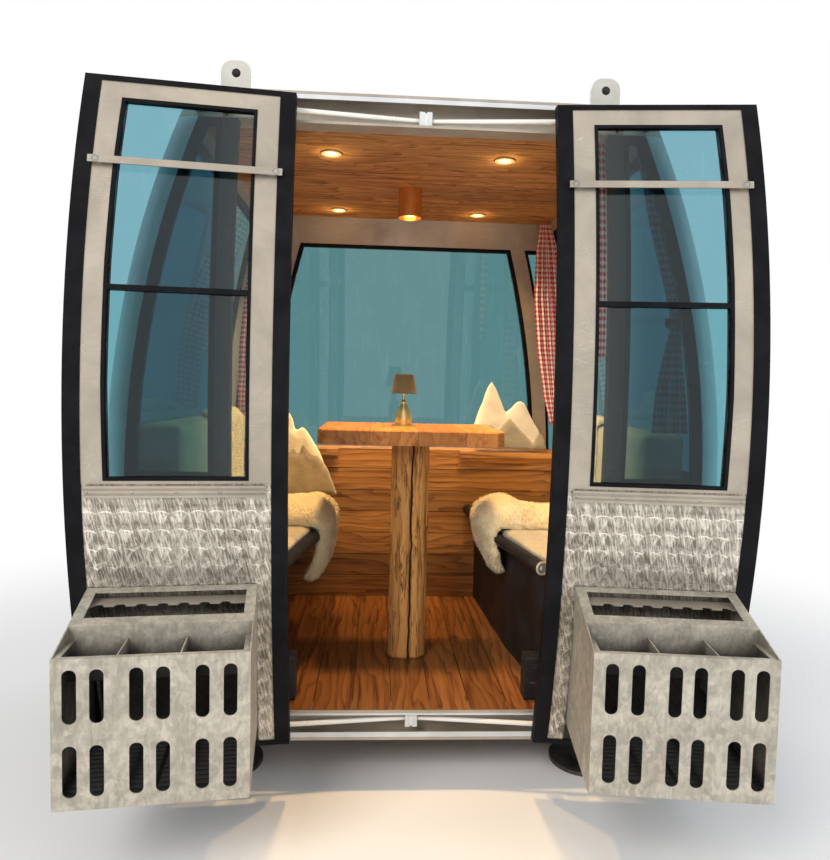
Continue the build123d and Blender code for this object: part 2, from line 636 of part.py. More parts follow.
def basket():
    u0 = BASKET_U
    u1 = BASKET_U + BASKET_W
    zb = BASKET_LOW
    y_leaf = leaf_face(BASKET_LIP)
    yf = y_leaf - BASKET_D
    yb = y_leaf + 200
    drop = (BASKET_BACK - BASKET_LIP) / BASKET_D
    z_back = BASKET_LIP + drop * (yb - yf)
    form = cross([(yf, zb), (yb, zb), (yb, z_back), (yf, BASKET_LIP)], u0, u1)
    cavity = block(u0 + SHEET, u1 - SHEET, yf + SHEET, yb + 5, zb + SHEET, 900)
    s = form - cavity
    mid_y = yf + BAY_D
    z_mid = BASKET_LIP + drop * BAY_D
    plate = [(mid_y, z_mid), (mid_y, z_mid - SHEET), (yb, z_back - SHEET), (yb, z_back)]
    plate = cross(plate, u0, u1)
    plate -= block(u0 + 26, u1 - 26, mid_y + 32, y_leaf - 30, 0, 900)
    s += plate + block(u0, u1, mid_y, mid_y + SHEET, z_mid - 130, z_mid - 0.5)
    for part in BAY_WALLS:
        u = u0 + part * BASKET_W
        s += block(u, u + SHEET, yf, mid_y + 1, BASKET_LIP - 120, BASKET_LIP)
    comb = block(u0, u1, mid_y + 96, mid_y + 96 + SHEET, BASKET_LIP - 62, BASKET_LIP - 6)
    for part in NOTCHES:
        comb -= Pos(u0 + part * BASKET_W, mid_y + 96, BASKET_LIP - 6) * Rot(90, 0, 0) * Cylinder(18, 20)
    s += comb
    s += block(u0, u1, yf, yf + 16, BASKET_LIP - SHEET, BASKET_LIP)
    s += block(u0, u0 + SHEET + 14, yf, yf + BAY_D, BASKET_LIP - SHEET, BASKET_LIP)
    s += block(u1 - SHEET - 14, u1, yf, yf + BAY_D, BASKET_LIP - SHEET, BASKET_LIP)
    for part in SLOT_PARTS:
        du = part * BASKET_W
        for low, high in SLOT_ROWS:
            c = block(u0 + du - SLOT_HALF, u0 + du + SLOT_HALF, yf - 5, yf + SHEET + 2, low, high)
            c = c.fillet(SLOT_HALF - 0.5, c.edges().filter_by(Axis.Y))
            s -= Pos(0, 0, BASKET_LIP) * c
    for part in (0.04, 0.36, 0.68):
        ua = u0 + part * BASKET_W
        s -= block(ua, ua + 0.28 * BASKET_W, yf + 24, leaf_face(zb) - 10, zb - 5, zb + SHEET + 2)
    turned_s = Pos(0, y_leaf, 0) * Rot(0, 0, -SPLAY) * Pos(0, -y_leaf, 0) * s
    return turned_s - leaf_cyl(LEAF_R + FIT)


def place(shape):
    return Pos(OPEN_X, 0, 0) * shape


# Runners of the leaf, one on each rod near the inner edge and one
# further out
RUN_FIT = 0.5
RUNNERS = ((ROD_LOW_Z, ROD_Y, (58, 300)), (ROD_TOP_Z, HEAD_Y + ROD_Y, (58, 200)))
runner_list = []
for z, y0, places in RUNNERS:
    for u in places:
        x = OPEN_X + u
        y_rod = y0 - x * SLOPE
        b = block(x - 20, x + 20, y_rod - 80, y_rod + 4, z - 15, z + 15)
        b &= place(leaf_cyl(LEAF_R - LEAF_T))
        runner_list.append(b - rod_along((0, y0, z), (1500, y0 - 1500 * SLOPE, z), ROD_R + RUN_FIT))

leaf_nodes = {"rubber": [edging, gasket], "frame": [frame], "panel": [panel]}
leaf_nodes.update({"panes": [panes], "strap": [strap, strip], "basket": [basket()]})
for key, items in leaf_nodes.items():
    right = [place(one(i)) for i in items]
    put("door_right_" + key, *right)
    put("door_left_" + key, *[mirrored(r) for r in right])
put("door_right_runners", *runner_list)
put("door_left_runners", *[mirrored(r) for r in runner_list])

# Move to the ground, centred below the overall box
everything = Compound([s for group in PARTS.values() for s in group])
box = everything.bounding_box()
SHIFT = Location((0, -(box.min.Y + box.max.Y) / 2, GROUND))
os.makedirs("parts", exist_ok=True)
for name, group in PARTS.items():
    moved = [s.moved(SHIFT) for s in group]
    shape = moved[0] if len(moved) == 1 else Compound(moved)
    export_step(shape, "parts/" + name + ".step")
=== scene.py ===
import json
from math import atan2, cos, exp, pi, radians, sin, sqrt

import bmesh
import bpy
from mathutils import Matrix, Vector, noise

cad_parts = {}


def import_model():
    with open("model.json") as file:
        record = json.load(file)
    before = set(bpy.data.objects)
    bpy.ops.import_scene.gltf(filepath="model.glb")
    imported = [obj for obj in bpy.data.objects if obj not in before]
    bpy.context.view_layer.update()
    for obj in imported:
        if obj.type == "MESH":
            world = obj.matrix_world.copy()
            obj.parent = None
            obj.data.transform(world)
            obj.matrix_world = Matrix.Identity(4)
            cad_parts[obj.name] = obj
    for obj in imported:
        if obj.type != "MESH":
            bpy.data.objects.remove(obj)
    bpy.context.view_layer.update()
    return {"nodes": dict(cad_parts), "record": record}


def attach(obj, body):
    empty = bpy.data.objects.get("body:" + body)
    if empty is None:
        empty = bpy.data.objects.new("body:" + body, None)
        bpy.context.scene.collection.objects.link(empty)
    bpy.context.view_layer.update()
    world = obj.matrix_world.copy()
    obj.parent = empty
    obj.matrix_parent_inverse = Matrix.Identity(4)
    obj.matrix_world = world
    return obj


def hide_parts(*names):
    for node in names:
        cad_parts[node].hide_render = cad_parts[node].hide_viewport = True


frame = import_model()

NODES = frame["nodes"]
SCENE = bpy.context.scene

# Places below are in millimetres as in the part's source: x to the right,
# y into the cabin from the sill's front edge, z from the floor's top.
SILL_Y = -0.40237       # metres in the frame, of the sill's front edge
FLOOR_Z = 0.220         # metres in the frame, of the floor's top
ARC_Y = 3415.3717       # middle and radius of the front wall's arc
ARC_Z = 884.0463
ARC_R = 3545.7836
RING_Z = 1677.0         # lower edge of the top ring
TOP_Z = 1762.0          # top of the body's walls
CEILING_Z = 1713        # underside of the ceiling boards
LIP_X = 552             # half length of the door channels' lips
LUG_X = 552             # middle of the roof's lugs
LUG_EYE_Z = TOP_Z + 104   # middle of their holes
SPLAY = radians(6.8)    # slant of the rods and leaves
OPEN_X = 349.0          # inner edge of an open leaf
LEAF_OUT = 75.0         # leaf's face in front of the wall's
STRAP_Z = 1501          # middle of the straps across the leaves
STRIP_Z = 681           # middle of the ribbed strips below their windows
BASKET_U = 77           # inner side of a basket from the leaf's inner edge
BASKET_W = 420          # its width
BASKET_LIP_Z = 357      # its front lip
BOARD_W = 118.0         # width of a floor board
BOARD_X = 58.0          # where one seam between them starts
LOG_X = 3.0             # middle of the table's post
LOG_Y = 458.0
TABLE_Z = 812           # top of the table
HIDE_Y = 665            # middle of the sheepskins
TUBE_Z = 409            # middle of the tubes below the seats
# Lamps below the ceiling, x and y
PENDANT = (-8, 705)
SPOTS = ((-285, 322), (285, 322), (-300, 1052), (300, 1052))


def at(x, y, z):
    """A place in millimetres, as a vector in the frame's metres."""
    return Vector((x / 1000, y / 1000 + SILL_Y, z / 1000 + FLOOR_Z))


def front_y(z, out=0.0):
    """y of the front wall's face at a height."""
    return ARC_Y - sqrt((ARC_R + out) ** 2 - (z - ARC_Z) ** 2)


def leaf_spot(side, u, z, out=0.0):
    """A point on a leaf's outer face, u from its inner edge, and the way that the face looks."""
    r = ARC_R + LEAF_OUT
    low = sqrt((r + out) ** 2 - (z - ARC_Z) ** 2)
    y = ARC_Y + r * (1 / cos(SPLAY) - 1) - u * sin(SPLAY) / cos(SPLAY) - low / cos(SPLAY)
    tilt = (z - ARC_Z) / r
    level = sqrt(1 - tilt ** 2)
    facing = Vector((-side * level * sin(SPLAY), -level * cos(SPLAY), tilt))
    return at(side * (OPEN_X + u), y, z), facing


def basket_spot(side):
    """Turns u (from the leaf's inner edge), v (behind the leaf's face at the basket's lip) and z
    into a place."""
    level = leaf_spot(side, 0, BASKET_LIP_Z)[0].y

    def spot(u, v, z):
        x = side * (OPEN_X + u * cos(SPLAY) + v * sin(SPLAY))
        return Vector((x / 1000, level + (v * cos(SPLAY) - u * sin(SPLAY)) / 1000, z / 1000 + FLOOR_Z))
    return spot


# Shader helpers
SOCKETS = {"number": "NodeSocketFloat", "vector": "NodeSocketVector", "colour": "NodeSocketColor"}


class Graph:
    """A node tree, with short calls to add, set and join its nodes."""

    def __init__(self, tree):
        self.tree = tree

    def plug(self, socket, value):
        if isinstance(value, bpy.types.NodeSocket):
            self.tree.links.new(value, socket)
        elif value is not None:
            socket.default_value = value

    def add(self, kind, inputs=None, **settings):
        node = self.tree.nodes.new(kind)
        for key, value in settings.items():
            setattr(node, key, value)
        for key, value in (inputs or {}).items():
            self.plug(node.inputs[key], value)
        return node

    def math(self, operation, a, b=None, c=None, clamp=False):
        node = self.add("ShaderNodeMath", {0: a, 1: b, 2: c}, operation=operation, use_clamp=clamp)
        return node.outputs[0]

    def vmath(self, operation, a, b=None, out=0):
        return self.add("ShaderNodeVectorMath", {0: a, 1: b}, operation=operation).outputs[out]

    def mix(self, factor, a, b, blend="MIX"):
        node = self.add("ShaderNodeMix", None, data_type="RGBA", blend_type=blend)
        self.plug(node.inputs[0], factor)
        self.plug(node.inputs[6], a)
        self.plug(node.inputs[7], b)
        return node.outputs[2]

    def ramp(self, value, low, high, to_low=0.0, to_high=1.0):
        spans = {"Value": value, "From Min": low, "From Max": high, "To Min": to_low, "To Max": to_high}
        return self.add("ShaderNodeMapRange", spans, interpolation_type="SMOOTHSTEP").outputs[0]

    def noise(self, vector, scale, detail=3.0, rough=0.55, twist=0.0):
        values = {"Vector": vector, "Scale": scale, "Detail": detail, "Roughness": rough,
                  "Distortion": twist}
        return self.add("ShaderNodeTexNoise", values).outputs["Fac"]

    def cells(self, vector, scale, out="Distance", **settings):
        return self.add("ShaderNodeTexVoronoi", {"Vector": vector, "Scale": scale}, **settings).outputs[out]

    def parts(self, vector):
        return self.add("ShaderNodeSeparateXYZ", {0: vector}).outputs

    def join(self, x, y, z=0.0):
        return self.add("ShaderNodeCombineXYZ", {0: x, 1: y, 2: z}).outputs[0]


def new_group(name, inputs, outputs):
    tree = bpy.data.node_groups.new(name, "ShaderNodeTree")
    for key, kind, value in inputs:
        socket = tree.interface.new_socket(key, in_out="INPUT", socket_type=SOCKETS[kind])
        if value is not None:
            socket.default_value = value
    for key, kind in outputs:
        tree.interface.new_socket(key, in_out="OUTPUT", socket_type=SOCKETS[kind])
    given = tree.nodes.new("NodeGroupInput").outputs
    result = tree.nodes.new("NodeGroupOutput").inputs
    return Graph(tree), given, result


def placed(graph, group, inputs):
    node = graph.add("ShaderNodeGroup", None, node_tree=group)
    for key, value in inputs.items():
        graph.plug(node.inputs[key], value)
    return node.outputs


def timber_group():
    """Wood whose grain runs along the vector's x: rings, fine pores and a few knots."""
    g, given, result = new_group(
        "Timber",
        [("Vector", "vector", None), ("Light", "colour", None), ("Dark", "colour", None),
         ("Rings", "number", 26.0), ("Wander", "number", 1.6), ("Knots", "number", 1.0)],
        [("Colour", "colour"), ("Height", "number")])
    v = given["Vector"]
    slow = g.noise(g.vmath("MULTIPLY", v, (1.5, 7.0, 7.0)), 1.0, 3.0, 0.5, 0.4)
    knot_at = g.vmath("MULTIPLY", v, (2.6, 6.5, 6.5))
    knot = g.ramp(g.cells(knot_at, 1.0), 0.02, 0.17, 1.0, 0.0)
    knot = g.math("MULTIPLY", knot, given["Knots"])
    across = g.parts(v)[1]
    deep = g.parts(v)[2]
    flow = g.math("ADD", g.math("MULTIPLY", across, given["Rings"]), g.math("MULTIPLY", deep, 9.0))
    flow = g.math("ADD", flow, g.math("MULTIPLY", slow, g.math("MULTIPLY", given["Wander"], 4.0)))
    flow = g.math("ADD", flow, g.math("MULTIPLY", knot, 1.6))
    saw = g.math("FRACT", flow)
    ring = g.math("POWER", saw, 2.2)
    pores = g.noise(g.vmath("MULTIPLY", v, (9.0, 330.0, 330.0)), 1.0, 3.0, 0.6)
    streak = g.noise(g.vmath("MULTIPLY", v, (2.2, 55.0, 55.0)), 1.0, 3.0, 0.6)
    specks = g.math("MULTIPLY", g.ramp(pores, 0.45, 0.75), 0.28)
    dark = g.math("ADD", g.math("MULTIPLY", ring, 0.62), specks)
    dark = g.math("ADD", dark, g.ramp(streak, 0.47, 0.72, 0.0, 0.6), clamp=True)
    colour = g.mix(dark, given["Light"], given["Dark"])
    colour = g.mix(g.math("MULTIPLY", knot, 0.85, clamp=True), colour, (0.07, 0.025, 0.01, 1))
    broad = g.noise(g.vmath("MULTIPLY", v, (0.8, 3.0, 3.0)), 1.0, 2.0)
    colour = g.mix(g.ramp(broad, 0.35, 0.7, 0.0, 0.35), colour, given["Dark"])
    g.plug(result["Colour"], colour)
    height = g.math("SUBTRACT", g.math("MULTIPLY", pores, 0.6), g.math("MULTIPLY", dark, 0.7))
    g.plug(result["Height"], height)
    return g.tree


def boards_group():
    """Boards side by side: a random number for each, and a mask of the seams between them."""
    g, given, result = new_group(
        "Boards",
        [("Across", "number", 0.0), ("Pitch", "number", 0.1), ("Shift", "number", 0.0),
         ("Seam", "number", 0.0015)],
        [("Random", "number"), ("Seam", "number")])
    place = g.math("DIVIDE", g.math("SUBTRACT", given["Across"], given["Shift"]), given["Pitch"])
    number = g.math("FLOOR", place)
    chance = g.add("ShaderNodeTexWhiteNoise", {"W": number}, noise_dimensions="1D").outputs["Value"]
    edge = g.math("PINGPONG", place, 0.5)
    gap = g.math("MULTIPLY", edge, given["Pitch"])
    g.plug(result["Random"], chance)
    g.plug(result["Seam"], g.math("LESS_THAN", gap, given["Seam"]))
    return g.tree


def wear_group():
    """Metal that has been handled: fine brushing along x, stray scratches and cloudy smudges."""
    g, given, result = new_group(
        "Worn metal",
        [("Vector", "vector", None), ("Brushing", "number", 1.0), ("Scratches", "number", 1.0)],
        [("Smudge", "number"), ("Scratch", "number"), ("Height", "number")])
    v = given["Vector"]
    brush = g.noise(g.vmath("MULTIPLY", v, (16.0, 700.0, 700.0)), 1.0, 2.0, 0.6)
    smudge = g.noise(v, 5.5, 5.0, 0.62, 0.5)
    tilted = g.add("ShaderNodeMapping", {"Vector": v, "Rotation": (0.4, 0.9, 0.3),
                                         "Scale": (7.0, 150.0, 150.0)})
    lines = g.cells(tilted.outputs[0], 1.0, feature="DISTANCE_TO_EDGE")
    patch = g.ramp(g.noise(v, 9.0, 2.0), 0.52, 0.66)
    scratch = g.math("MULTIPLY", g.ramp(lines, 0.0, 0.025, 1.0, 0.0), patch)
    scratch = g.math("MULTIPLY", scratch, given["Scratches"])
    g.plug(result["Smudge"], smudge)
    g.plug(result["Scratch"], scratch)
    brushed = g.math("MULTIPLY", brush, given["Brushing"])
    height = g.math("SUBTRACT", brushed, g.math("MULTIPLY", scratch, 1.2))
    g.plug(result["Height"], height)
    return g.tree


def fibre_group():
    """Pressed wool fibres: a fleck mask and a height."""
    g, given, result = new_group(
        "Wool fibres",
        [("Vector", "vector", None), ("Size", "number", 1.0)],
        [("Fleck", "number"), ("Height", "number")])
    v = g.vmath("SCALE", given["Vector"])
    g.plug(v.node.inputs["Scale"], given["Size"])
    soft = g.noise(v, 34.0, 4.0, 0.6)
    fine = g.noise(v, 420.0, 3.0, 0.7, 1.2)
    hair = g.noise(g.vmath("MULTIPLY", v, (900.0, 90.0, 500.0)), 1.0, 2.0, 0.6, 2.0)
    g.plug(result["Fleck"], g.math("ADD", g.math("MULTIPLY", soft, 0.5), g.math("MULTIPLY", fine, 0.5)))
    g.plug(result["Height"], g.math("ADD", fine, g.math("MULTIPLY", hair, 0.7)))
    return g.tree


def weave_group():
    """Plain weave on UV in metres: thread heights."""
    g, given, result = new_group(
        "Plain weave",
        [("Vector", "vector", None), ("Thread", "number", 0.0011)],
        [("Height", "number")])
    xyz = g.parts(given["Vector"])
    warp = g.math("SINE", g.math("DIVIDE", g.math("MULTIPLY", xyz[0], 2 * pi), given["Thread"]))
    weft = g.math("SINE", g.math("DIVIDE", g.math("MULTIPLY", xyz[1], 2 * pi), given["Thread"]))
    g.plug(result["Height"], g.math("MULTIPLY", warp, weft))
    return g.tree


def swirl_group():
    """Sheet polished in overlapping discs: a painted highlight as a fan of fine rays in the disc on top,
    and a painted highlight on its rim.
    """
    g, given, result = new_group(
        "Polished discs with painted glints",
        [("Across", "number", 0.0), ("Up", "number", 0.0), ("Column", "number", 0.044),
         ("Row", "number", 0.048), ("Radius", "number", 0.036), ("Glint", "number", 1.57)],
        [("Painted fan", "number"), ("Ray", "number"), ("Painted rim", "number")])
    u = g.math("DIVIDE", given["Across"], given["Column"])
    v = g.math("DIVIDE", given["Up"], given["Row"])
    base_u, base_v = g.math("FLOOR", u), g.math("FLOOR", v)
    top = [0.0, 0.0, 0.0]
    for dv in (1, 0):
        for du in (0, 1):
            column, row = g.math("ADD", base_u, du), g.math("ADD", base_v, dv)
            x = g.math("MULTIPLY", g.math("SUBTRACT", u, column), given["Column"])
            y = g.math("MULTIPLY", g.math("SUBTRACT", v, row), given["Row"])
            far = g.math("SQRT", g.math("ADD", g.math("MULTIPLY", x, x), g.math("MULTIPLY", y, y)))
            inside = g.math("LESS_THAN", far, given["Radius"])
            mark = g.math("ADD", column, g.math("MULTIPLY", row, 17.3))
            new = (x, y, mark)
            top = [g.math("ADD", old, g.math("MULTIPLY", inside, g.math("SUBTRACT", value, old)))
                   for old, value in zip(top, new)]
    x, y, mark = top
    far = g.math("SQRT", g.math("ADD", g.math("MULTIPLY", x, x), g.math("MULTIPLY", y, y)))
    angle = g.math("ARCTAN2", y, x)
    swing = g.math("ABSOLUTE", g.math("COSINE", g.math("SUBTRACT", angle, given["Glint"])))
    around = g.math("MULTIPLY", angle, 5.5)
    rays = g.noise(g.join(around, g.math("MULTIPLY", far, 32.0), mark), 1.0, 3.0, 0.7)
    rim = g.ramp(g.math("DIVIDE", far, given["Radius"]), 0.87, 0.98)
    # Painted highlights: a bright fan across the disc on top, and a bright rim.
    g.plug(result["Painted fan"], g.math("POWER", swing, 1.3))
    g.plug(result["Ray"], g.ramp(rays, 0.36, 0.66))
    g.plug(result["Painted rim"], g.math("MULTIPLY", rim, g.math("POWER", swing, 9.0)))
    return g.tree


TIMBER = timber_group()
BOARDS = boards_group()
WEAR = wear_group()
FIBRES = fibre_group()
WEAVE = weave_group()
SWIRLS = swirl_group()


def finish(name, **plain):
    """A new material: its graph, its shader, and Object coordinates."""
    material = bpy.data.materials.new(name)
    material.use_nodes = True
    g = Graph(material.node_tree)
    shader = material.node_tree.nodes["Principled BSDF"]
    for key, value in plain.items():
        shader.inputs[key.replace("_", " ")].default_value = value
    where = g.add("ShaderNodeTexCoord").outputs
    return material, g, shader, where["Object"], where["UV"]


def painted_occlusion_shade(g, reach, low=0.22, high=0.80):
    """1 in deep corners and inside narrow boxes, as painted shade where little light reaches, and 0 in the
    open.
    """
    open_part = g.add("ShaderNodeAmbientOcclusion", {"Distance": reach}, samples=8).outputs["AO"]
    return g.ramp(open_part, low, high, 1.0, 0.0)


def bump(g, shader, height, strength, distance):
    values = {"Height": height, "Strength": strength, "Distance": distance}
    g.plug(shader.inputs["Normal"], g.add("ShaderNodeBump", values).outputs[0])


def metal(name, colour, dull, roughness, spread, metallic, brushing=1.0, scratches=1.0, bump_mm=0.15):
    """Metal or paint: colour with dull clouds, and a roughness that spreads upwards in them."""
    material, g, shader, where, _ = finish(name, Metallic=metallic)
    worn = placed(g, WEAR, {"Vector": where, "Brushing": brushing, "Scratches": scratches})
    tone = g.mix(g.ramp(worn["Smudge"], 0.3, 0.7), colour, dull)
    tone = g.mix(g.math("MULTIPLY", worn["Scratch"], 0.35), tone, (0.86, 0.84, 0.8, 1))
    g.plug(shader.inputs["Base Color"], tone)
    g.plug(shader.inputs["Roughness"], g.ramp(worn["Smudge"], 0.3, 0.7, roughness, roughness + spread))
    bump(g, shader, worn["Height"], 0.25, bump_mm / 1000)
    return material


def wood(name, light, dark, order, pitch, shift, roughness=0.42, rings=26.0, wander=1.6, knots=1.0,
         tones=0.5, seam=0.0012):
    """Boards pitch wide; order names the axes along the grain, across the boards and through them."""
    material, g, shader, where, _ = finish(name, Specular_IOR_Level=0.4)
    xyz = g.parts(where)
    along, across, through = (xyz["XYZ".index(c)] for c in order)
    row = placed(g, BOARDS, {"Across": across, "Pitch": pitch, "Shift": shift, "Seam": seam})
    along = g.math("ADD", along, g.math("MULTIPLY", row["Random"], 17.0))
    through = g.math("ADD", through, g.math("MULTIPLY", row["Random"], 5.0))
    grain = placed(g, TIMBER, {"Vector": g.join(along, across, through), "Light": light, "Dark": dark,
                               "Rings": rings, "Wander": wander, "Knots": knots})
    shade = g.ramp(row["Random"], 0.0, 1.0, 1.0 - tones * 0.5, 1.0 + tones * 0.25)
    colour = g.mix(1.0, grain["Colour"], g.join(shade, shade, shade), "MULTIPLY")
    colour = g.mix(row["Seam"], colour, (0.012, 0.006, 0.003, 1))
    height = g.math("SUBTRACT", grain["Height"], g.math("MULTIPLY", row["Seam"], 2.5))
    g.plug(shader.inputs["Base Color"], colour)
    g.plug(shader.inputs["Roughness"], g.ramp(height, -0.6, 0.6, roughness + 0.14, roughness - 0.06))
    bump(g, shader, height, 0.35, 0.0007)
    return material


def hewn_log():
    """Golden split log: bark flecks along it, knots, and a dark crack down its front."""
    material, g, shader, where, _ = finish("Hewn log", Specular_IOR_Level=0.3)
    xyz = g.parts(where)
    grain = placed(g, TIMBER, {"Vector": g.join(xyz[2], xyz[0], xyz[1]), "Light": (0.78, 0.40, 0.125, 1),
                               "Dark": (0.30, 0.115, 0.03, 1), "Rings": 34.0, "Wander": 1.0, "Knots": 0.8})
    flecks = g.noise(g.vmath("MULTIPLY", where, (95.0, 95.0, 11.0)), 1.0, 4.0, 0.62, 1.2)
    patches = g.noise(g.vmath("MULTIPLY", where, (22.0, 22.0, 4.0)), 1.0, 3.0, 0.6, 0.6)
    bark = g.math("MULTIPLY", g.ramp(flecks, 0.50, 0.62), g.ramp(patches, 0.42, 0.58))
    colour = g.mix(g.math("MULTIPLY", bark, 0.85), grain["Colour"], (0.11, 0.038, 0.012, 1))
    sway = g.noise(g.join(g.math("MULTIPLY", xyz[2], 9.0), 0.0), 1.0, 3.0)
    bend = g.math("MULTIPLY", g.math("SUBTRACT", sway, 0.5), 0.02)
    off = g.math("ABSOLUTE", g.math("SUBTRACT", xyz[0], g.math("ADD", bend, 0.008)))
    front = g.math("LESS_THAN", xyz[1], SILL_Y + LOG_Y / 1000)
    crack = g.math("MULTIPLY", g.ramp(off, 0.0018, 0.0045, 1.0, 0.0), front)
    colour = g.mix(crack, colour, (0.02, 0.008, 0.004, 1))
    g.plug(shader.inputs["Base Color"], colour)
    g.plug(shader.inputs["Roughness"], g.ramp(flecks, 0.3, 0.7, 0.5, 0.7))
    hollow = g.math("ADD", g.math("MULTIPLY", bark, 1.2), g.math("MULTIPLY", crack, 3.0))
    height = g.math("SUBTRACT", grain["Height"], hollow)
    bump(g, shader, height, 0.6, 0.0016)
    return material


def felt(name, colour, dark, size=1.0, sheen=0.35):
    """Pressed wool; size makes its fibres finer."""
    material, g, shader, where, _ = finish(name, Roughness=0.93, Sheen_Weight=sheen, Sheen_Roughness=0.6,
                                           Specular_IOR_Level=0.15)
    wool = placed(g, FIBRES, {"Vector": where, "Size": size})
    g.plug(shader.inputs["Base Color"], g.mix(g.ramp(wool["Fleck"], 0.35, 0.68), dark, colour))
    bump(g, shader, wool["Height"], 0.5, 0.0012)
    return material


def swirl_sheet():
    """Engine-turned aluminium of the leaves, with painted glints that turn from upright to slanting
    downwards, and painted shade inside the baskets and in hollows.
    """
    material, g, shader, where, _ = finish("Engine-turned sheet", Metallic=0.6)
    xyz = g.parts(where)
    wobble = g.math("MULTIPLY", g.math("SUBTRACT", g.noise(where, 22.0, 2.0), 0.5), 0.008)
    discs = placed(g, SWIRLS, {"Across": g.math("ADD", xyz[0], wobble), "Up": g.math("ADD", xyz[2], wobble),
                               "Column": 0.044, "Row": 0.048, "Radius": 0.035,
                               "Glint": g.ramp(xyz[2], 0.66, 0.90, 0.75, 1.66)})
    cloud = g.noise(where, 7.0, 4.0, 0.6, 0.6)
    lean = g.math("MULTIPLY", xyz[2], 0.22)
    across = g.math("ADD", xyz[0], lean)
    fine = g.join(g.math("MULTIPLY", across, 210.0), g.math("MULTIPLY", xyz[2], 26.0))
    streak = g.noise(fine, 1.0, 3.0, 0.6, 0.4)
    # Painted highlights: bright fans, rims and streaks are mixed into the sheet's colour.
    painted_glint = g.math("MULTIPLY", discs["Painted fan"], g.math("ADD", g.math("MULTIPLY", discs["Ray"], 0.42), 0.08))
    painted_glint = g.math("ADD", painted_glint, g.math("MULTIPLY", discs["Painted rim"], 0.85))
    painted_glint = g.math("ADD", painted_glint, g.ramp(streak, 0.42, 0.66, 0.0, 0.5))
    painted_glint = g.math("ADD", painted_glint, g.ramp(cloud, 0.35, 0.7, -0.05, 0.2), clamp=True)
    colour = g.mix(painted_glint, (0.19, 0.158, 0.122, 1), (1.0, 0.925, 0.80, 1))
    # Painted shade: the sheet is painted near black inside the basket below its lip, and darker in hollows.
    side = g.math("ABSOLUTE", xyz[0])
    low = g.ramp(xyz[2], 0.50, 0.60, 1.0, 0.0)
    inside = g.math("MULTIPLY", g.ramp(side, 0.428, 0.436), g.ramp(side, 0.828, 0.836, 1.0, 0.0))
    dull = g.math("MAXIMUM", g.math("MULTIPLY", g.math("MULTIPLY", inside, low), 0.97),
                  g.math("MULTIPLY", painted_occlusion_shade(g, 0.2), 0.6))
    colour = g.mix(dull, colour, (0.02, 0.018, 0.016, 1))
    g.plug(shader.inputs["Base Color"], colour)
    g.plug(shader.inputs["Roughness"], g.ramp(painted_glint, 0.0, 1.0, 0.46, 0.26))
    height = g.math("ADD", g.math("MULTIPLY", discs["Ray"], 0.4), g.math("MULTIPLY", discs["Painted rim"], 0.8))
    bump(g, shader, height, 0.4, 0.0005)
    return material


def galvanised():
    """Hot-dip zinc: pale cloudy mottling, faint crystals, a little brown staining, and painted shade in its
    hollows, darker lower down.
    """
    material, g, shader, where, _ = finish("Galvanised sheet", Metallic=0.35)
    tint = g.parts(g.cells(where, 70.0, "Color", feature="F1"))[0]
    cloud = g.noise(where, 9.0, 5.0, 0.6, 1.4)
    flow = g.noise(g.vmath("MULTIPLY", where, (38.0, 38.0, 14.0)), 1.0, 4.0, 0.62, 2.2)
    tone = g.math("ADD", g.math("MULTIPLY", tint, 0.12), g.math("MULTIPLY", cloud, 0.55))
    tone = g.math("ADD", tone, g.math("MULTIPLY", flow, 0.5))
    colour = g.mix(g.ramp(tone, 0.42, 0.82), (0.36, 0.332, 0.27, 1), (0.64, 0.59, 0.49, 1))
    stain = g.ramp(g.noise(where, 4.5, 6.0, 0.7), 0.60, 0.74, 0.0, 0.45)
    colour = g.mix(stain, colour, (0.33, 0.27, 0.17, 1))
    spot = g.ramp(g.noise(where, 60.0, 3.0, 0.6), 0.72, 0.78, 0.0, 0.5)
    colour = g.mix(spot, colour, (0.20, 0.15, 0.10, 1))
    # Painted shade: near black in hollows, more so lower down inside the basket.
    depth = g.ramp(g.parts(where)[2], 0.53, 0.60, 0.97, 0.35)
    colour = g.mix(g.math("MULTIPLY", painted_occlusion_shade(g, 0.3, 0.40, 0.76), depth), colour, (0.012, 0.012, 0.011, 1))
    g.plug(shader.inputs["Base Color"], colour)
    g.plug(shader.inputs["Roughness"], g.ramp(tone, 0.42, 0.82, 0.52, 0.38))
    bump(g, shader, g.math("ADD", tint, flow), 0.1, 0.0005)
    return material


def tinted_glass(name, low, high, axis, split, scratches, clear=None):
    """Safety glass: low and high are its tints below and above split on the axis. It grows paler
    between the two x of clear."""
    material, g, shader, where, _ = finish(name, Metallic=0.0, Roughness=0.0, Transmission_Weight=1.0,
                                           IOR=1.45)
    xyz = g.parts(where)
    colour = g.mix(g.ramp(xyz["XYZ".index(axis)], split - 0.003, split + 0.003), low, high)
    if clear:
        near = g.ramp(g.math("ABSOLUTE", xyz[0]), *clear, 1.0, 0.0)
        colour = g.mix(near, colour, (0.66, 0.80, 0.80, 1))
    runs = g.noise(g.vmath("MULTIPLY", where, (60.0, 60.0, 5.0)), 1.0, 5.0, 0.65, 0.8)
    tilted = g.add("ShaderNodeMapping", {"Vector": where, "Rotation": (0.3, 0.9, 0.2),
                                         "Scale": (26.0, 26.0, 120.0)})
    lines = g.cells(tilted.outputs[0], 1.0, feature="DISTANCE_TO_EDGE")
    patch = g.ramp(g.noise(where, 7.0, 2.0), 0.5, 0.62)
    scratch = g.math("MULTIPLY", g.ramp(lines, 0.0, 0.02, scratches, 0.0), patch)
    film = g.math("ADD", g.ramp(runs, 0.55, 0.8, 0.0, 0.25), scratch, clamp=True)
    g.plug(shader.inputs["Base Color"], g.mix(g.math("MULTIPLY", film, 0.5), colour, (0.72, 0.82, 0.84, 1)))
    return material


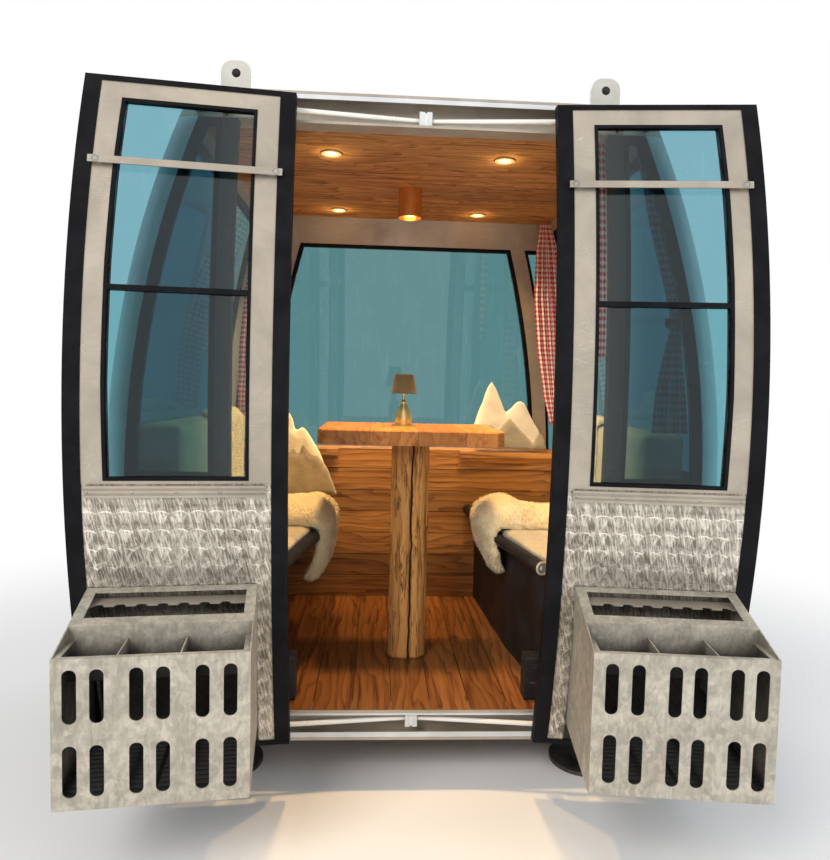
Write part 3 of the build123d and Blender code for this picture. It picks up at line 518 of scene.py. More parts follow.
def rubber(name, colour):
    """Black rubber, greyer where it is rubbed, with fine lines along its length."""
    material, g, shader, where, _ = finish(name, Specular_IOR_Level=0.1)
    patch = g.noise(where, 12.0, 4.0, 0.6)
    grey = tuple(c * 2.2 for c in colour[:3]) + (1,)
    g.plug(shader.inputs["Base Color"], g.mix(g.ramp(patch, 0.35, 0.7), colour, grey))
    g.plug(shader.inputs["Roughness"], g.ramp(patch, 0.3, 0.7, 0.45, 0.65))
    lines = g.noise(g.vmath("MULTIPLY", where, (420.0, 420.0, 3.0)), 1.0, 2.0)
    bump(g, shader, g.math("ADD", lines, g.noise(where, 260.0, 2.0)), 0.3, 0.0005)
    return material


def gingham():
    """Red and white checks on the cloth's own UV, in metres."""
    material, g, shader, _, uv = finish("Checked cotton", Roughness=0.9, Sheen_Weight=0.2,
                                        Specular_IOR_Level=0.15)
    xyz = g.parts(uv)
    period = 0.022
    bands = []
    for axis in (0, 1):
        step = g.math("FRACT", g.math("DIVIDE", xyz[axis], period))
        bands.append(g.math("LESS_THAN", step, 0.5))
    both = g.math("MULTIPLY", g.math("ADD", bands[0], bands[1]), 0.5)
    colour = g.mix(both, (0.92, 0.86, 0.82, 1), (0.62, 0.012, 0.026, 1))
    soft = g.noise(uv, 9.0, 3.0)
    colour = g.mix(g.ramp(soft, 0.4, 0.7, 0.0, 0.12), colour, (0.35, 0.08, 0.08, 1))
    g.plug(shader.inputs["Base Color"], colour)
    thread = placed(g, WEAVE, {"Vector": uv, "Thread": 0.0012})
    bump(g, shader, thread["Height"], 0.3, 0.0004)
    return material


def lamp_cloth():
    """Olive-grey linen of the table lamp's shade."""
    material, g, shader, where, uv = finish("Shade cloth", Roughness=0.85, Sheen_Weight=0.2)
    thread = placed(g, WEAVE, {"Vector": uv, "Thread": 0.0014})
    slub = g.noise(g.vmath("MULTIPLY", where, (500.0, 500.0, 60.0)), 1.0, 2.0)
    g.plug(shader.inputs["Base Color"], g.mix(slub, (0.044, 0.039, 0.029, 1), (0.098, 0.086, 0.060, 1)))
    bump(g, shader, thread["Height"], 0.35, 0.0004)
    return material


def glow(name, colour, strength):
    """Lit lens or bulb, slightly frosted."""
    material, g, shader, where, _ = finish(name, Roughness=0.5, Emission_Strength=strength)
    spots = g.cells(where, 600.0)
    tone = g.mix(g.math("MULTIPLY", spots, 0.4), colour, tuple(c * 0.7 for c in colour[:3]) + (1,))
    g.plug(shader.inputs["Base Color"], tone)
    g.plug(shader.inputs["Emission Color"], tone)
    return material


ALUMINIUM = metal("Pale aluminium", (0.50, 0.437, 0.355, 1), (0.39, 0.342, 0.28, 1),
                  roughness=0.36, spread=0.16, metallic=0.45, brushing=0.6, scratches=1.0)
SKIN = metal("Satin skin", (0.56, 0.57, 0.57, 1), (0.46, 0.47, 0.47, 1),
             roughness=0.34, spread=0.16, metallic=0.4, brushing=0.3, scratches=0.7)
CHROME = metal("Polished rod", (0.88, 0.86, 0.80, 1), (0.82, 0.80, 0.74, 1),
               roughness=0.22, spread=0.06, metallic=0.2, brushing=0.1, scratches=0.2, bump_mm=0.02)
LAMP_RING = metal("Lamp ring", (0.80, 0.72, 0.52, 1), (0.68, 0.60, 0.42, 1),
                  roughness=0.3, spread=0.12, metallic=0.6)
BOLT = metal("Zinc bolt", (0.62, 0.60, 0.56, 1), (0.44, 0.42, 0.39, 1),
             roughness=0.3, spread=0.14, metallic=0.9)
COPPER = metal("Copper", (0.90, 0.42, 0.14, 1), (0.74, 0.31, 0.09, 1),
               roughness=0.2, spread=0.12, metallic=0.8, brushing=0.5, scratches=0.6)
LAMP_METAL = metal("Lamp brass", (0.86, 0.72, 0.34, 1), (0.66, 0.52, 0.20, 1),
                   roughness=0.22, spread=0.1, metallic=0.85, brushing=0.3, scratches=0.5)
BLACK_PAINT = metal("Black paint", (0.008, 0.008, 0.009, 1), (0.02, 0.019, 0.019, 1),
                    roughness=0.5, spread=0.2, metallic=0.0, brushing=0.3, scratches=0.3)
PALE_METAL = metal("Pale body metal", (0.72, 0.74, 0.75, 1), (0.60, 0.62, 0.63, 1),
                   roughness=0.36, spread=0.16, metallic=0.25, brushing=0.3, scratches=0.8)
PALE_PAINT = metal("Pale paint", (0.56, 0.55, 0.50, 1), (0.44, 0.43, 0.39, 1),
                   roughness=0.4, spread=0.15, metallic=0.0, brushing=0.2, scratches=0.5)
RUNNER = metal("Runner plastic", (0.02, 0.02, 0.02, 1), (0.035, 0.035, 0.035, 1),
               roughness=0.45, spread=0.15, metallic=0.0, brushing=0.3, scratches=0.5)
SWIRL = swirl_sheet()
ZINC = galvanised()
LEAF_GLASS = tinted_glass("Leaf glass", (0.13, 0.38, 0.44, 1), (0.18, 0.42, 0.50, 1), "Z",
                          split=1.407, scratches=0.5, clear=(0.47, 0.60))
# The rear window's dark tint is painted shade, standing in for the darkness behind it; the front panes keep
# the pale tint.
BODY_GLASS = tinted_glass("Body glass", (0.50, 0.62, 0.76, 1), (0.10, 0.24, 0.25, 1), "Y",
                          split=-0.335, scratches=0.3)
RUBBER = rubber("Black rubber", (0.005, 0.005, 0.006, 1))
REAR_WOOD = wood("Wall boards", (0.60, 0.30, 0.092, 1), (0.17, 0.064, 0.017, 1), "XZY",
                 pitch=0.098, shift=FLOOR_Z, rings=30.0, knots=0.9)
FLOOR_WOOD = wood("Floor boards", (0.34, 0.135, 0.040, 1), (0.10, 0.030, 0.010, 1), "YXZ",
                  pitch=BOARD_W / 1000, shift=0.059, rings=28.0, roughness=0.32)
CEILING_WOOD = wood("Ceiling boards", (0.66, 0.36, 0.125, 1), (0.13, 0.045, 0.012, 1), "XYZ",
                    pitch=0.208, shift=0.01, roughness=0.55, rings=15.0, wander=3.4, seam=0.0003, tones=0.2)
TABLE_WOOD = wood("Table staves", (0.68, 0.265, 0.070, 1), (0.36, 0.115, 0.026, 1), "YXZ",
                  pitch=0.163, shift=-0.143, rings=11.0, roughness=0.48, seam=0.0004)
POST_WOOD = hewn_log()
FELT = felt("Bench felt", (0.56, 0.47, 0.30, 1), (0.42, 0.35, 0.21, 1))
CUSHION = felt("Cushion felt", (0.42, 0.37, 0.28, 1), (0.30, 0.26, 0.19, 1))
SNOW = felt("Cream felt", (0.90, 0.83, 0.68, 1), (0.80, 0.72, 0.56, 1))
FLEECE = felt("Fleece", (0.97, 0.83, 0.55, 1), (0.90, 0.73, 0.44, 1), 0.6, 0.4)
GINGHAM = gingham()
SHADE = lamp_cloth()
RIBBON = felt("Curtain ribbon", (0.66, 0.03, 0.04, 1), (0.42, 0.015, 0.02, 1), 2.0, 0.2)
SPOT_GLOW = glow("Spot glow", (1.0, 0.62, 0.20, 1), 5.0)
BULB_GLOW = glow("Bulb glow", (1.0, 0.62, 0.22, 1), 5.0)

FINISHES = {
    "frame_aluminium": ALUMINIUM, "swirl_sheet": SWIRL, "skin_sheet": SKIN, "galvanised": ZINC,
    "rod_steel": CHROME, "black_paint": BLACK_PAINT, "black_rubber": RUBBER, "runner_plastic": RUNNER,
    "tinted_glass": LEAF_GLASS, "rear_wood": REAR_WOOD, "floor_wood": FLOOR_WOOD,
    "ceiling_wood": CEILING_WOOD, "table_wood": TABLE_WOOD, "post_wood": POST_WOOD, "felt": FELT,
    "fleece": FLEECE, "cushion_felt": CUSHION, "gingham": GINGHAM, "lamp_cloth": SHADE,
    "copper": COPPER, "lamp_metal": LAMP_METAL, "lamp_ring": LAMP_RING, "pale_paint": PALE_PAINT,
}
for entry in frame["record"]["subparts"]:
    node = NODES[entry["node"]]
    node.data.materials.clear()
    node.data.materials.append(FINISHES[entry["material_slot"]])
NODES["window_panes"].data.materials[0] = BODY_GLASS
NODES["corner_posts"].data.materials[0] = PALE_METAL


# Mesh helpers
def shown(name, mesh, material):
    """A new object in the scene for the mesh, with this one material."""
    mesh.materials.clear()
    mesh.materials.append(material)
    piece = bpy.data.objects.new(name, mesh)
    SCENE.collection.objects.link(piece)
    return piece


def new_piece(name, verts, faces, material, smooth=True):
    mesh = bpy.data.meshes.new(name)
    mesh.from_pydata([tuple(v) for v in verts], [], faces)
    if smooth:
        mesh.shade_smooth()
    return shown(name, mesh, material)


def built(name, bm, material):
    """Keeps a bmesh as a new piece, with its faces turned outwards."""
    bmesh.ops.recalc_face_normals(bm, faces=bm.faces)
    mesh = bpy.data.meshes.new(name)
    bm.to_mesh(mesh)
    bm.free()
    return shown(name, mesh, material)


def mend(piece):
    """Merges doubles and turns the faces outwards."""
    bm = bmesh.new()
    bm.from_mesh(piece.data)
    bmesh.ops.remove_doubles(bm, verts=bm.verts, dist=1e-6)
    bmesh.ops.recalc_face_normals(bm, faces=bm.faces)
    bm.to_mesh(piece.data)
    bm.free()
    return piece


def baked(piece):
    """Puts the result of the piece's modifiers in its mesh and removes them."""
    graph = bpy.context.evaluated_depsgraph_get()
    mesh = bpy.data.meshes.new_from_object(piece.evaluated_get(graph))
    piece.modifiers.clear()
    old, piece.data = piece.data, mesh
    mesh.name = piece.name
    bpy.data.meshes.remove(old)
    return piece


def refined(piece):
    """One level of subdivision, kept in the mesh."""
    mod = piece.modifiers.new("Finer", "SUBSURF")
    mod.levels = mod.render_levels = 1
    baked(piece).data.shade_smooth()


def tube(name, rings, material, closed=False):
    """A skin over rings of points, all with the same count, with capped ends unless it is closed."""
    count = len(rings[0])
    verts = [p for ring in rings for p in ring]
    faces = []
    spans = len(rings) if closed else len(rings) - 1
    for i in range(spans):
        a, b = i * count, ((i + 1) % len(rings)) * count
        faces += [(a + j, a + (j + 1) % count, b + (j + 1) % count, b + j) for j in range(count)]
    if not closed:
        faces += [tuple(range(count))[::-1], tuple(range(len(verts) - count, len(verts)))]
    return mend(new_piece(name, verts, faces, material))


def turned(name, profile, centre, material, steps=40, axis=Vector((0, 0, 1)), closed=False):
    """A turned piece: profile is (radius, height) from its foot up, in millimetres. A closed one is
    a ring, and its profile ends where it starts."""
    spin = Vector((0, 0, 1)).rotation_difference(axis)
    turns = [2 * pi * k / steps for k in range(steps)]
    rings = []
    for r, h in profile:
        rings.append([centre + spin @ (Vector((r * cos(a), r * sin(a), h)) / 1000) for a in turns])
    if closed:
        rings.pop()
    return tube(name, rings, material, closed)


def cast(name, material, source, pick):
    """A merged copy of those solids of a CAD node whose middle pick accepts."""
    mesh = NODES[source].data.copy()
    mesh.name = name
    piece = shown(name, mesh, material)
    bm = bmesh.new()
    bm.from_mesh(mesh)
    bmesh.ops.remove_doubles(bm, verts=bm.verts, dist=1e-5)
    left = set(bm.verts)
    while left:
        start = left.pop()
        island, edge = {start}, [start]
        while edge:
            for joined in edge.pop().link_edges:
                near = [v for v in joined.verts if v not in island]
                island.update(near)
                edge += near
        left -= island
        middle = sum((v.co for v in island), Vector()) / len(island)
        if not pick(middle):
            bmesh.ops.delete(bm, geom=list(island), context="VERTS")
    bm.to_mesh(mesh)
    bm.free()
    return piece


def remeshed(piece, size, rounds):
    """An even skin of voxels of this size, softened in some rounds."""
    mod = piece.modifiers.new("Even", "REMESH")
    mod.mode = "VOXEL"
    mod.voxel_size = size
    mod.use_smooth_shade = True
    mod = piece.modifiers.new("Soften", "SMOOTH")
    mod.factor = 0.5
    mod.iterations = rounds
    return baked(piece)


def swell(piece, cap, pressure=4.0, frames=20):
    """Fills a soft shape by a short cloth simulation in which no point moves further than cap."""
    cloth = piece.modifiers.new("Filling", "CLOTH")
    cloth.settings.use_pressure = True
    cloth.settings.uniform_pressure_force = pressure
    cloth.settings.effector_weights.gravity = 0.0
    cloth.point_cache.frame_end = frames
    for step in range(1, frames + 1):
        SCENE.frame_set(step)
    filled = piece.evaluated_get(bpy.context.evaluated_depsgraph_get()).data
    moved = [v.co.copy() for v in filled.vertices]
    piece.modifiers.clear()
    SCENE.frame_set(1)
    for vertex, goal in zip(piece.data.vertices, moved):
        way = goal - vertex.co
        vertex.co += way * min(1.0, cap / max(way.length, 1e-9))
    return piece


def crumple(piece, amount, scale, seed=0.0):
    """Moves the points along their normals by slow noise, as handled cloth does."""
    shift = Vector((seed, seed * 0.7, seed * 1.3))
    normals = [v.normal.copy() for v in piece.data.vertices]
    for vertex, normal in zip(piece.data.vertices, normals):
        vertex.co += normal * noise.noise(vertex.co * scale + shift) * amount
    return piece


# Seats and backs
def soft_block(name, source, side):
    """The pad of one side's seat or back, filled out from its plain solid."""
    piece = cast(name, FELT, source, lambda middle: middle.x * side > 0)
    remeshed(piece, 0.012, 4)
    swell(piece, 0.004, 2.0, 12)
    crumple(piece, 0.0012, 14.0, side)
    refined(piece)
    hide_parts(source)
    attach(piece, "cabin")


for side, word in ((-1, "left"), (1, "right")):
    soft_block("seat_pad_" + word, "bench_seats", side)
    soft_block("back_pad_" + word, "seat_backs", side)


# Sheepskins: a thick hide, covered in tufts
def tuft_tree():
    """Tufts of wool, tilted at random, scattered over a skin."""
    tree = bpy.data.node_groups.new("Wool tufts", "GeometryNodeTree")
    face = tree.interface
    face.new_socket("Geometry", in_out="INPUT", socket_type="NodeSocketGeometry")
    sizes = (("Density", "Float", 9000.0), ("Length", "Float", 0.022), ("Width", "Float", 0.0042),
             ("Seed", "Int", 3))
    for key, kind, value in sizes:
        face.new_socket(key, in_out="INPUT", socket_type="NodeSocket" + kind).default_value = value
    face.new_socket("Wool", in_out="INPUT", socket_type="NodeSocketMaterial")
    face.new_socket("Geometry", in_out="OUTPUT", socket_type="NodeSocketGeometry")
    new, link = tree.nodes.new, tree.links.new
    given, result = new("NodeGroupInput").outputs, new("NodeGroupOutput").inputs
    scatter = new("GeometryNodeDistributePointsOnFaces")
    link(given["Geometry"], scatter.inputs["Mesh"])
    where = new("GeometryNodeInputNamedAttribute")
    where.data_type = "FLOAT"
    where.inputs["Name"].default_value = "woolly"
    amount = new("ShaderNodeMath")
    amount.operation = "MULTIPLY"
    link(given["Density"], amount.inputs[0])
    link(where.outputs["Attribute"], amount.inputs[1])
    link(amount.outputs[0], scatter.inputs["Density"])
    link(given["Seed"], scatter.inputs["Seed"])
    cone = new("GeometryNodeMeshCone")
    cone.inputs["Vertices"].default_value = 3
    cone.inputs["Radius Top"].default_value = 0.0
    cone.fill_type = "NONE"
    link(given["Width"], cone.inputs["Radius Bottom"])
    link(given["Length"], cone.inputs["Depth"])
    turn = new("FunctionNodeRandomValue")
    turn.data_type = "FLOAT_VECTOR"
    turn.inputs[0].default_value = (-0.75, -0.75, -3.1)
    turn.inputs[1].default_value = (0.75, 0.75, 3.1)
    link(given["Seed"], turn.inputs["Seed"])
    euler = new("FunctionNodeEulerToRotation")
    link(turn.outputs[0], euler.inputs[0])
    spin = new("FunctionNodeRotateRotation")
    spin.rotation_space = "LOCAL"
    link(scatter.outputs["Rotation"], spin.inputs[0])
    link(euler.outputs[0], spin.inputs[1])
    size = new("FunctionNodeRandomValue")
    size.data_type = "FLOAT"
    size.inputs[2].default_value = 0.6
    size.inputs[3].default_value = 1.15
    link(given["Seed"], size.inputs["Seed"])
    stand = new("GeometryNodeInstanceOnPoints")
    link(scatter.outputs["Points"], stand.inputs["Points"])
    link(cone.outputs["Mesh"], stand.inputs["Instance"])
    link(spin.outputs[0], stand.inputs["Rotation"])
    link(size.outputs[1], stand.inputs["Scale"])
    real = new("GeometryNodeRealizeInstances")
    link(stand.outputs[0], real.inputs[0])
    smooth = new("GeometryNodeSetShadeSmooth")
    link(real.outputs[0], smooth.inputs["Geometry"])
    both = new("GeometryNodeJoinGeometry")
    link(smooth.outputs[0], both.inputs[0])
    link(given["Geometry"], both.inputs[0])
    paint = new("GeometryNodeSetMaterial")
    link(both.outputs[0], paint.inputs["Geometry"])
    link(given["Wool"], paint.inputs["Material"])
    link(paint.outputs[0], result["Geometry"])
    return tree


TUFTS = tuft_tree()


def grown(piece, tree, **inputs):
    """Runs a geometry tree on the piece and keeps the result as a plain mesh."""
    mod = piece.modifiers.new("Grown", "NODES")
    mod.node_group = tree
    for socket in tree.interface.items_tree:
        if socket.in_out == "INPUT" and socket.name in inputs:
            mod[socket.identifier] = inputs[socket.name]
    return baked(piece)


def tube_x(y):
    """Middle of the tube below a seat's inner edge."""
    return 334.0 - 32.0 * (y - 500.0) / 630.0


def smooth_line(rows, steps):
    """Catmull-Rom points through the rows."""
    line = []
    for i in range(steps + 1):
        t = i / steps * (len(rows) - 1)
        k = min(int(t), len(rows) - 2)
        f = t - k
        a, b, c, d = (rows[max(0, min(len(rows) - 1, k + n))] for n in (-1, 0, 1, 2))
        line.append([0.5 * (2 * b[n] + (c[n] - a[n]) * f + (2 * a[n] - 5 * b[n] + 4 * c[n] - d[n]) * f * f
                            + (3 * b[n] - a[n] - 3 * c[n] + d[n]) * f ** 3) for n in range(len(rows[0]))])
    return line


def sheepskin(name, side, rows, seed):
    """rows run from the end on the seat's back to the hanging tip, with the columns named below."""
    steps, rounds = 90, 40
    line = smooth_line(rows, steps)
    rings, guide = [], []
    for i, (x, slant, z, thick, y0, y1) in enumerate(line):
        a, b = line[max(0, i - 1)], line[min(steps, i + 1)]
        run = Vector((b[0] - a[0], 0, b[2] - a[2])).normalized()
        out = Vector((run.z, 0, -run.x))
        end = min(i, steps - i) / 4.0
        end = sqrt(max(0.02, 1 - (1 - end) ** 2)) if end < 1 else 1.0
        ring = []
        for k in range(rounds):
            turn = 2 * pi * k / rounds
            c, up = cos(turn), max(0.0, sin(turn))
            flat = abs(c) ** 0.5 * (1 if c > 0 else -1)
            edge = 1 + 0.05 * noise.noise(Vector((i * 0.12, 3.0 * (1 if c > 0 else -1), seed)))
            y = (y0 + y1) / 2 + flat * (y1 - y0) / 2 * edge * (0.75 + 0.25 * end)
            reach = thick * (0.3 + 0.7 * end) * up ** 0.6
            here = x + slant * (tube_x(y) - tube_x(HIDE_Y))
            ring.append(at(side * (here + out.x * reach), y, z + out.z * reach))
        rings.append(ring)
        guide.append((at(side * x, HIDE_Y, z), Vector((side * out.x, 0, out.z))))
    piece = remeshed(tube(name, rings, FLEECE), 0.008, 2)
    crumple(piece, 0.005, 22.0, seed)
    crumple(piece, 0.003, 60.0, seed + 3)
    woolly = piece.data.attributes.new("woolly", "FLOAT", "FACE")
    for face in piece.data.polygons:
        place = face.center
        near = min(guide, key=lambda g: (g[0].x - place.x) ** 2 + (g[0].z - place.z) ** 2)
        woolly.data[face.index].value = 1.0 if face.normal.dot(near[1]) > -0.35 else 0.0
    grown(piece, TUFTS, Density=46000.0, Length=0.012, Width=0.0022, Seed=int(seed), Wool=FLEECE)
    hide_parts("sheepskins")
    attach(piece, "cabin")


# Columns: x, share of the tube's slant that x follows, z, thickness, front edge, rear edge
HIDE_RIGHT = [
    (752, 0, 838, 12, 512, 812), (716, 0, 839, 22, 505, 818), (695, 0, 828, 30, 498, 824),
    (691, 0, 780, 34, 492, 828), (691, 0, 640, 34, 490, 830), (688, 0, 530, 36, 486, 836),
    (664, 0, 462, 38, 478, 850), (600, 0, 447, 40, 470, 858), (480, 0.3, 447, 50, 470, 860),
    (408, 0.8, 447, 84, 472, 860), (352, 1, 447, 76, 474, 856), (323, 1, 436, 48, 476, 852),
    (319, 1, 405, 36, 478, 842), (329, 1, 360, 36, 484, 790), (345, 1, 318, 38, 500, 700),
    (364, 1, 284, 34, 515, 620)]
HIDE_LEFT = [
    (752, 0, 838, 12, 508, 842), (716, 0, 839, 22, 500, 850), (695, 0, 828, 30, 494, 856),
    (691, 0, 780, 34, 491, 859), (691, 0, 640, 34, 490, 860), (688, 0, 530, 36, 488, 870),
    (664, 0, 462, 42, 484, 888), (600, 0, 447, 52, 480, 898), (480, 0.3, 447, 60, 480, 900),
    (400, 0.8, 447, 66, 482, 900), (350, 1, 447, 70, 484, 896), (322, 1, 436, 47, 486, 892),
    (317, 1, 405, 39, 488, 880), (325, 1, 350, 42, 490, 850), (345, 1, 300, 48, 496, 760),
    (372, 1, 254, 46, 508, 660)]
sheepskin("sheepskin_right", 1, HIDE_RIGHT, 2.0)
sheepskin("sheepskin_left", -1, HIDE_LEFT, 5.0)


# Mountain cushions: two peaks of cream felt behind a lower range
def peak_cushion(name, outline, y, thick, material, cap, seed):
    """outline is (x, z) round the shape, in millimetres."""
    bm = bmesh.new()
    front = [bm.verts.new(at(x, y - thick / 2, z)) for x, z in outline]
    back = [bm.verts.new(at(x, y + thick / 2, z)) for x, z in outline]
    bm.faces.new(front)
    bm.faces.new(back[::-1])
    count = len(outline)
    for i in range(count):
        j = (i + 1) % count
        bm.faces.new((front[j], front[i], back[i], back[j]))
    bmesh.ops.triangulate(bm, faces=bm.faces)
    piece = built(name, bm, material)
    remeshed(piece, 0.006, 5)
    swell(piece, cap)
    crumple(piece, 0.003, 16.0, seed)
    refined(piece)
    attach(piece, "cabin")
    return piece


CUSHIONS = (
    # name, y, thickness, material, cap, outline
    ("snow_peaks_right", 1118, 40, SNOW, 0.006,
     [(312, 684), (316, 800), (374, 968), (390, 994), (406, 972), (468, 850), (518, 902), (536, 908),
      (552, 896), (622, 770), (640, 684)]),
    ("felt_range_right", 1096, 26, CUSHION, 0.005,
     [(322, 684), (318, 744), (386, 806), (420, 776), (480, 836), (590, 722), (618, 768), (640, 742),
      (652, 684)]),
    ("snow_peaks_left", 1018, 40, SNOW, 0.006,
     [(-610, 480), (-606, 620), (-528, 820), (-506, 842), (-488, 820), (-464, 762), (-436, 778),
      (-416, 764), (-358, 670), (-284, 480)]),
    ("felt_range_left", 994, 26, CUSHION, 0.005,
     [(-616, 484), (-610, 600), (-560, 700), (-520, 650), (-470, 694), (-450, 664), (-430, 712),
      (-396, 668), (-360, 655), (-320, 595), (-278, 484)]),
)
for index, (name, y, thick, material, cap, outline) in enumerate(CUSHIONS):
    cushion = peak_cushion(name, outline, y, thick, material, cap, index * 3.0)
    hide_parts("peak_cushions")


# Curtains, gathered between a left and a right edge
def thickened(piece, offset):
    """Gives a sheet the cloth's thickness: offset 0 on both sides of it, and -1 behind it."""
    mod = piece.modifiers.new("Cloth", "SOLIDIFY")
    mod.thickness = 0.0012
    mod.offset = offset
    baked(piece).data.shade_smooth()


def curtain(name, y, rows, folds, depth, seed):
    """rows is (z, left x, right x) from the top down, in millimetres. Each fold is depth deep."""
    columns, levels = folds * 10, 60
    across = columns + 1
    verts = []
    top, foot = rows[0][0], rows[-1][0]
    for i in range(levels + 1):
        z = top + (foot - top) * i / levels
        k = max(n for n in range(len(rows) - 1) if rows[n][0] >= z - 1e-6)
        f = (rows[k][0] - z) / (rows[k][0] - rows[k + 1][0])
        left = rows[k][1] + (rows[k + 1][1] - rows[k][1]) * f
        right = rows[k][2] + (rows[k + 1][2] - rows[k][2]) * f
        for j in range(across):
            s = j / columns
            stray = 0.5 * sin(3.1 * s * pi + seed) + 0.25 * noise.noise(Vector((s * 4, z / 300, seed)))
            wave = sin(2 * pi * folds * s + stray)
            wide = min(1.0, (right - left) / 120.0)
            ripple = depth * wave * (0.45 + 0.55 * wide)
            verts.append(at(left + (right - left) * s, y + ripple, z))

    def span(a, b):
        return (verts[b] - verts[a]).length

    starts = [i * across for i in range(levels + 1)]
    full = max(sum(span(a + j, a + j + 1) for j in range(columns)) for a in starts)
    long = max(sum(span(a + j, a + j + across) for a in starts[:-1]) for j in range(across))
    faces = [(a + j, a + j + 1, a + j + across + 1, a + j + across)
             for a in starts[:-1] for j in range(columns)]
    piece = new_piece(name, verts, faces, GINGHAM)
    layer = piece.data.uv_layers.new(name="cloth")
    for loop in piece.data.loops:
        row, column = divmod(loop.vertex_index, across)
        layer.data[loop.index].uv = (full * column / columns, long * row / levels)
    thickened(piece, 0.0)
    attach(piece, "cabin")
    return piece


REAR_ROWS = [(1710, 598, 642), (1600, 584, 676), (1370, 580, 712), (1147, 602, 734), (921, 642, 740),
             (800, 676, 738)]
CURTAINS = (
    # name, y, folds, fold depth, rows
    ("curtain_rear_right", 1134, 6, 7, REAR_ROWS),
    ("curtain_rear_left", 1134, 6, 7, [(z, -right, -left) for z, left, right in REAR_ROWS]),
    ("curtain_door_right", 68, 4, 5,
     [(1710, 500, 542), (1400, 520, 558), (1300, 524, 562), (1200, 528, 566), (1062, 536, 566)]),
    ("curtain_front_right", 14, 6, 6,
     [(1710, 602, 652), (1450, 660, 714), (1210, 730, 764), (1150, 738, 768), (1090, 724, 774),
      (960, 700, 792), (838, 694, 806)]),
)
for index, (name, y, folds, depth, rows) in enumerate(CURTAINS):
    cloth = curtain(name, y, rows, folds, depth, index * 1.7)
    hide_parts("curtains")


def tie_band():
    """The ribbon that gathers the front curtain, with the two loops of its bow."""
    verts, faces = [], []
    rings = (((753, 14, 1158), 22, 16), ((732, 2, 1162), 16, 5), ((766, 2, 1152), 14, 5))
    steps, half = 28, 13
    for (x, y, z), wide, deep in rings:
        first = len(verts)
        for k in range(steps):
            a = 2 * pi * k / steps
            for edge in (-1, 1):
                verts.append(at(x + wide * cos(a), y + deep * sin(a), z + edge * half))
        for k in range(steps):
            n = first + 2 * k
            m = first + 2 * ((k + 1) % steps)
            faces.append((n, m, m + 1, n + 1))
    piece = new_piece("curtain_tie", verts, faces, RIBBON)
    thickened(piece, -1.0)
    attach(piece, "cabin")


tie_band()


# Table post: a hewn log with a split down its front
def hewn_post():
    """The axe left flats round it: outline is its section, in millimetres from its middle."""
    outline = [(-69, -40), (-52, -66), (-8, -70), (40, -67), (66, -44), (70, 10), (62, 52), (30, 70),
               (-36, 68), (-66, 44)]
    around, levels = 120, 90
    sides = zip(outline, outline[1:] + outline[:1])
    lengths = [sqrt((q[0] - p[0]) ** 2 + (q[1] - p[1]) ** 2) for p, q in sides]
    total = sum(lengths)
    ring = []
    for k in range(around):
        go, i = total * k / around, 0
        while go > lengths[i]:
            go -= lengths[i]
            i += 1
        p, q = outline[i], outline[(i + 1) % len(outline)]
        f = go / lengths[i]
        ring.append((p[0] + (q[0] - p[0]) * f, p[1] + (q[1] - p[1]) * f))
    rings = []
    for j in range(levels + 1):
        z = 1 + 760.0 * j / levels
        level = []
        for x, y in ring:
            r = sqrt(x * x + y * y)
            a = atan2(y, x)
            rough = 2.2 * noise.noise(Vector((x * 0.03, y * 0.03, z * 0.004)))
            rough += 1.2 * noise.noise(Vector((x * 0.11, y * 0.11, z * 0.012)))
            crack = 0.0
            if y < 0:
                split = x - (4 + 3 * sin(z * 0.012) + 2 * sin(z * 0.031))
                short = 4.0 * exp(-((x + 42 - 0.01 * z) / 2.2) ** 2) * (0.5 + 0.5 * sin(z * 0.02))
                crack = 9.0 * exp(-(split / 2.4) ** 2) + short
            scale = (r - 2.4 + rough - crack) / r
            level.append(at(LOG_X + x * scale, LOG_Y + y * scale, z))
        rings.append(level)
    piece = tube("hewn_post", rings, POST_WOOD)
    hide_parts("table_post")
    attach(piece, "cabin")


hewn_post()


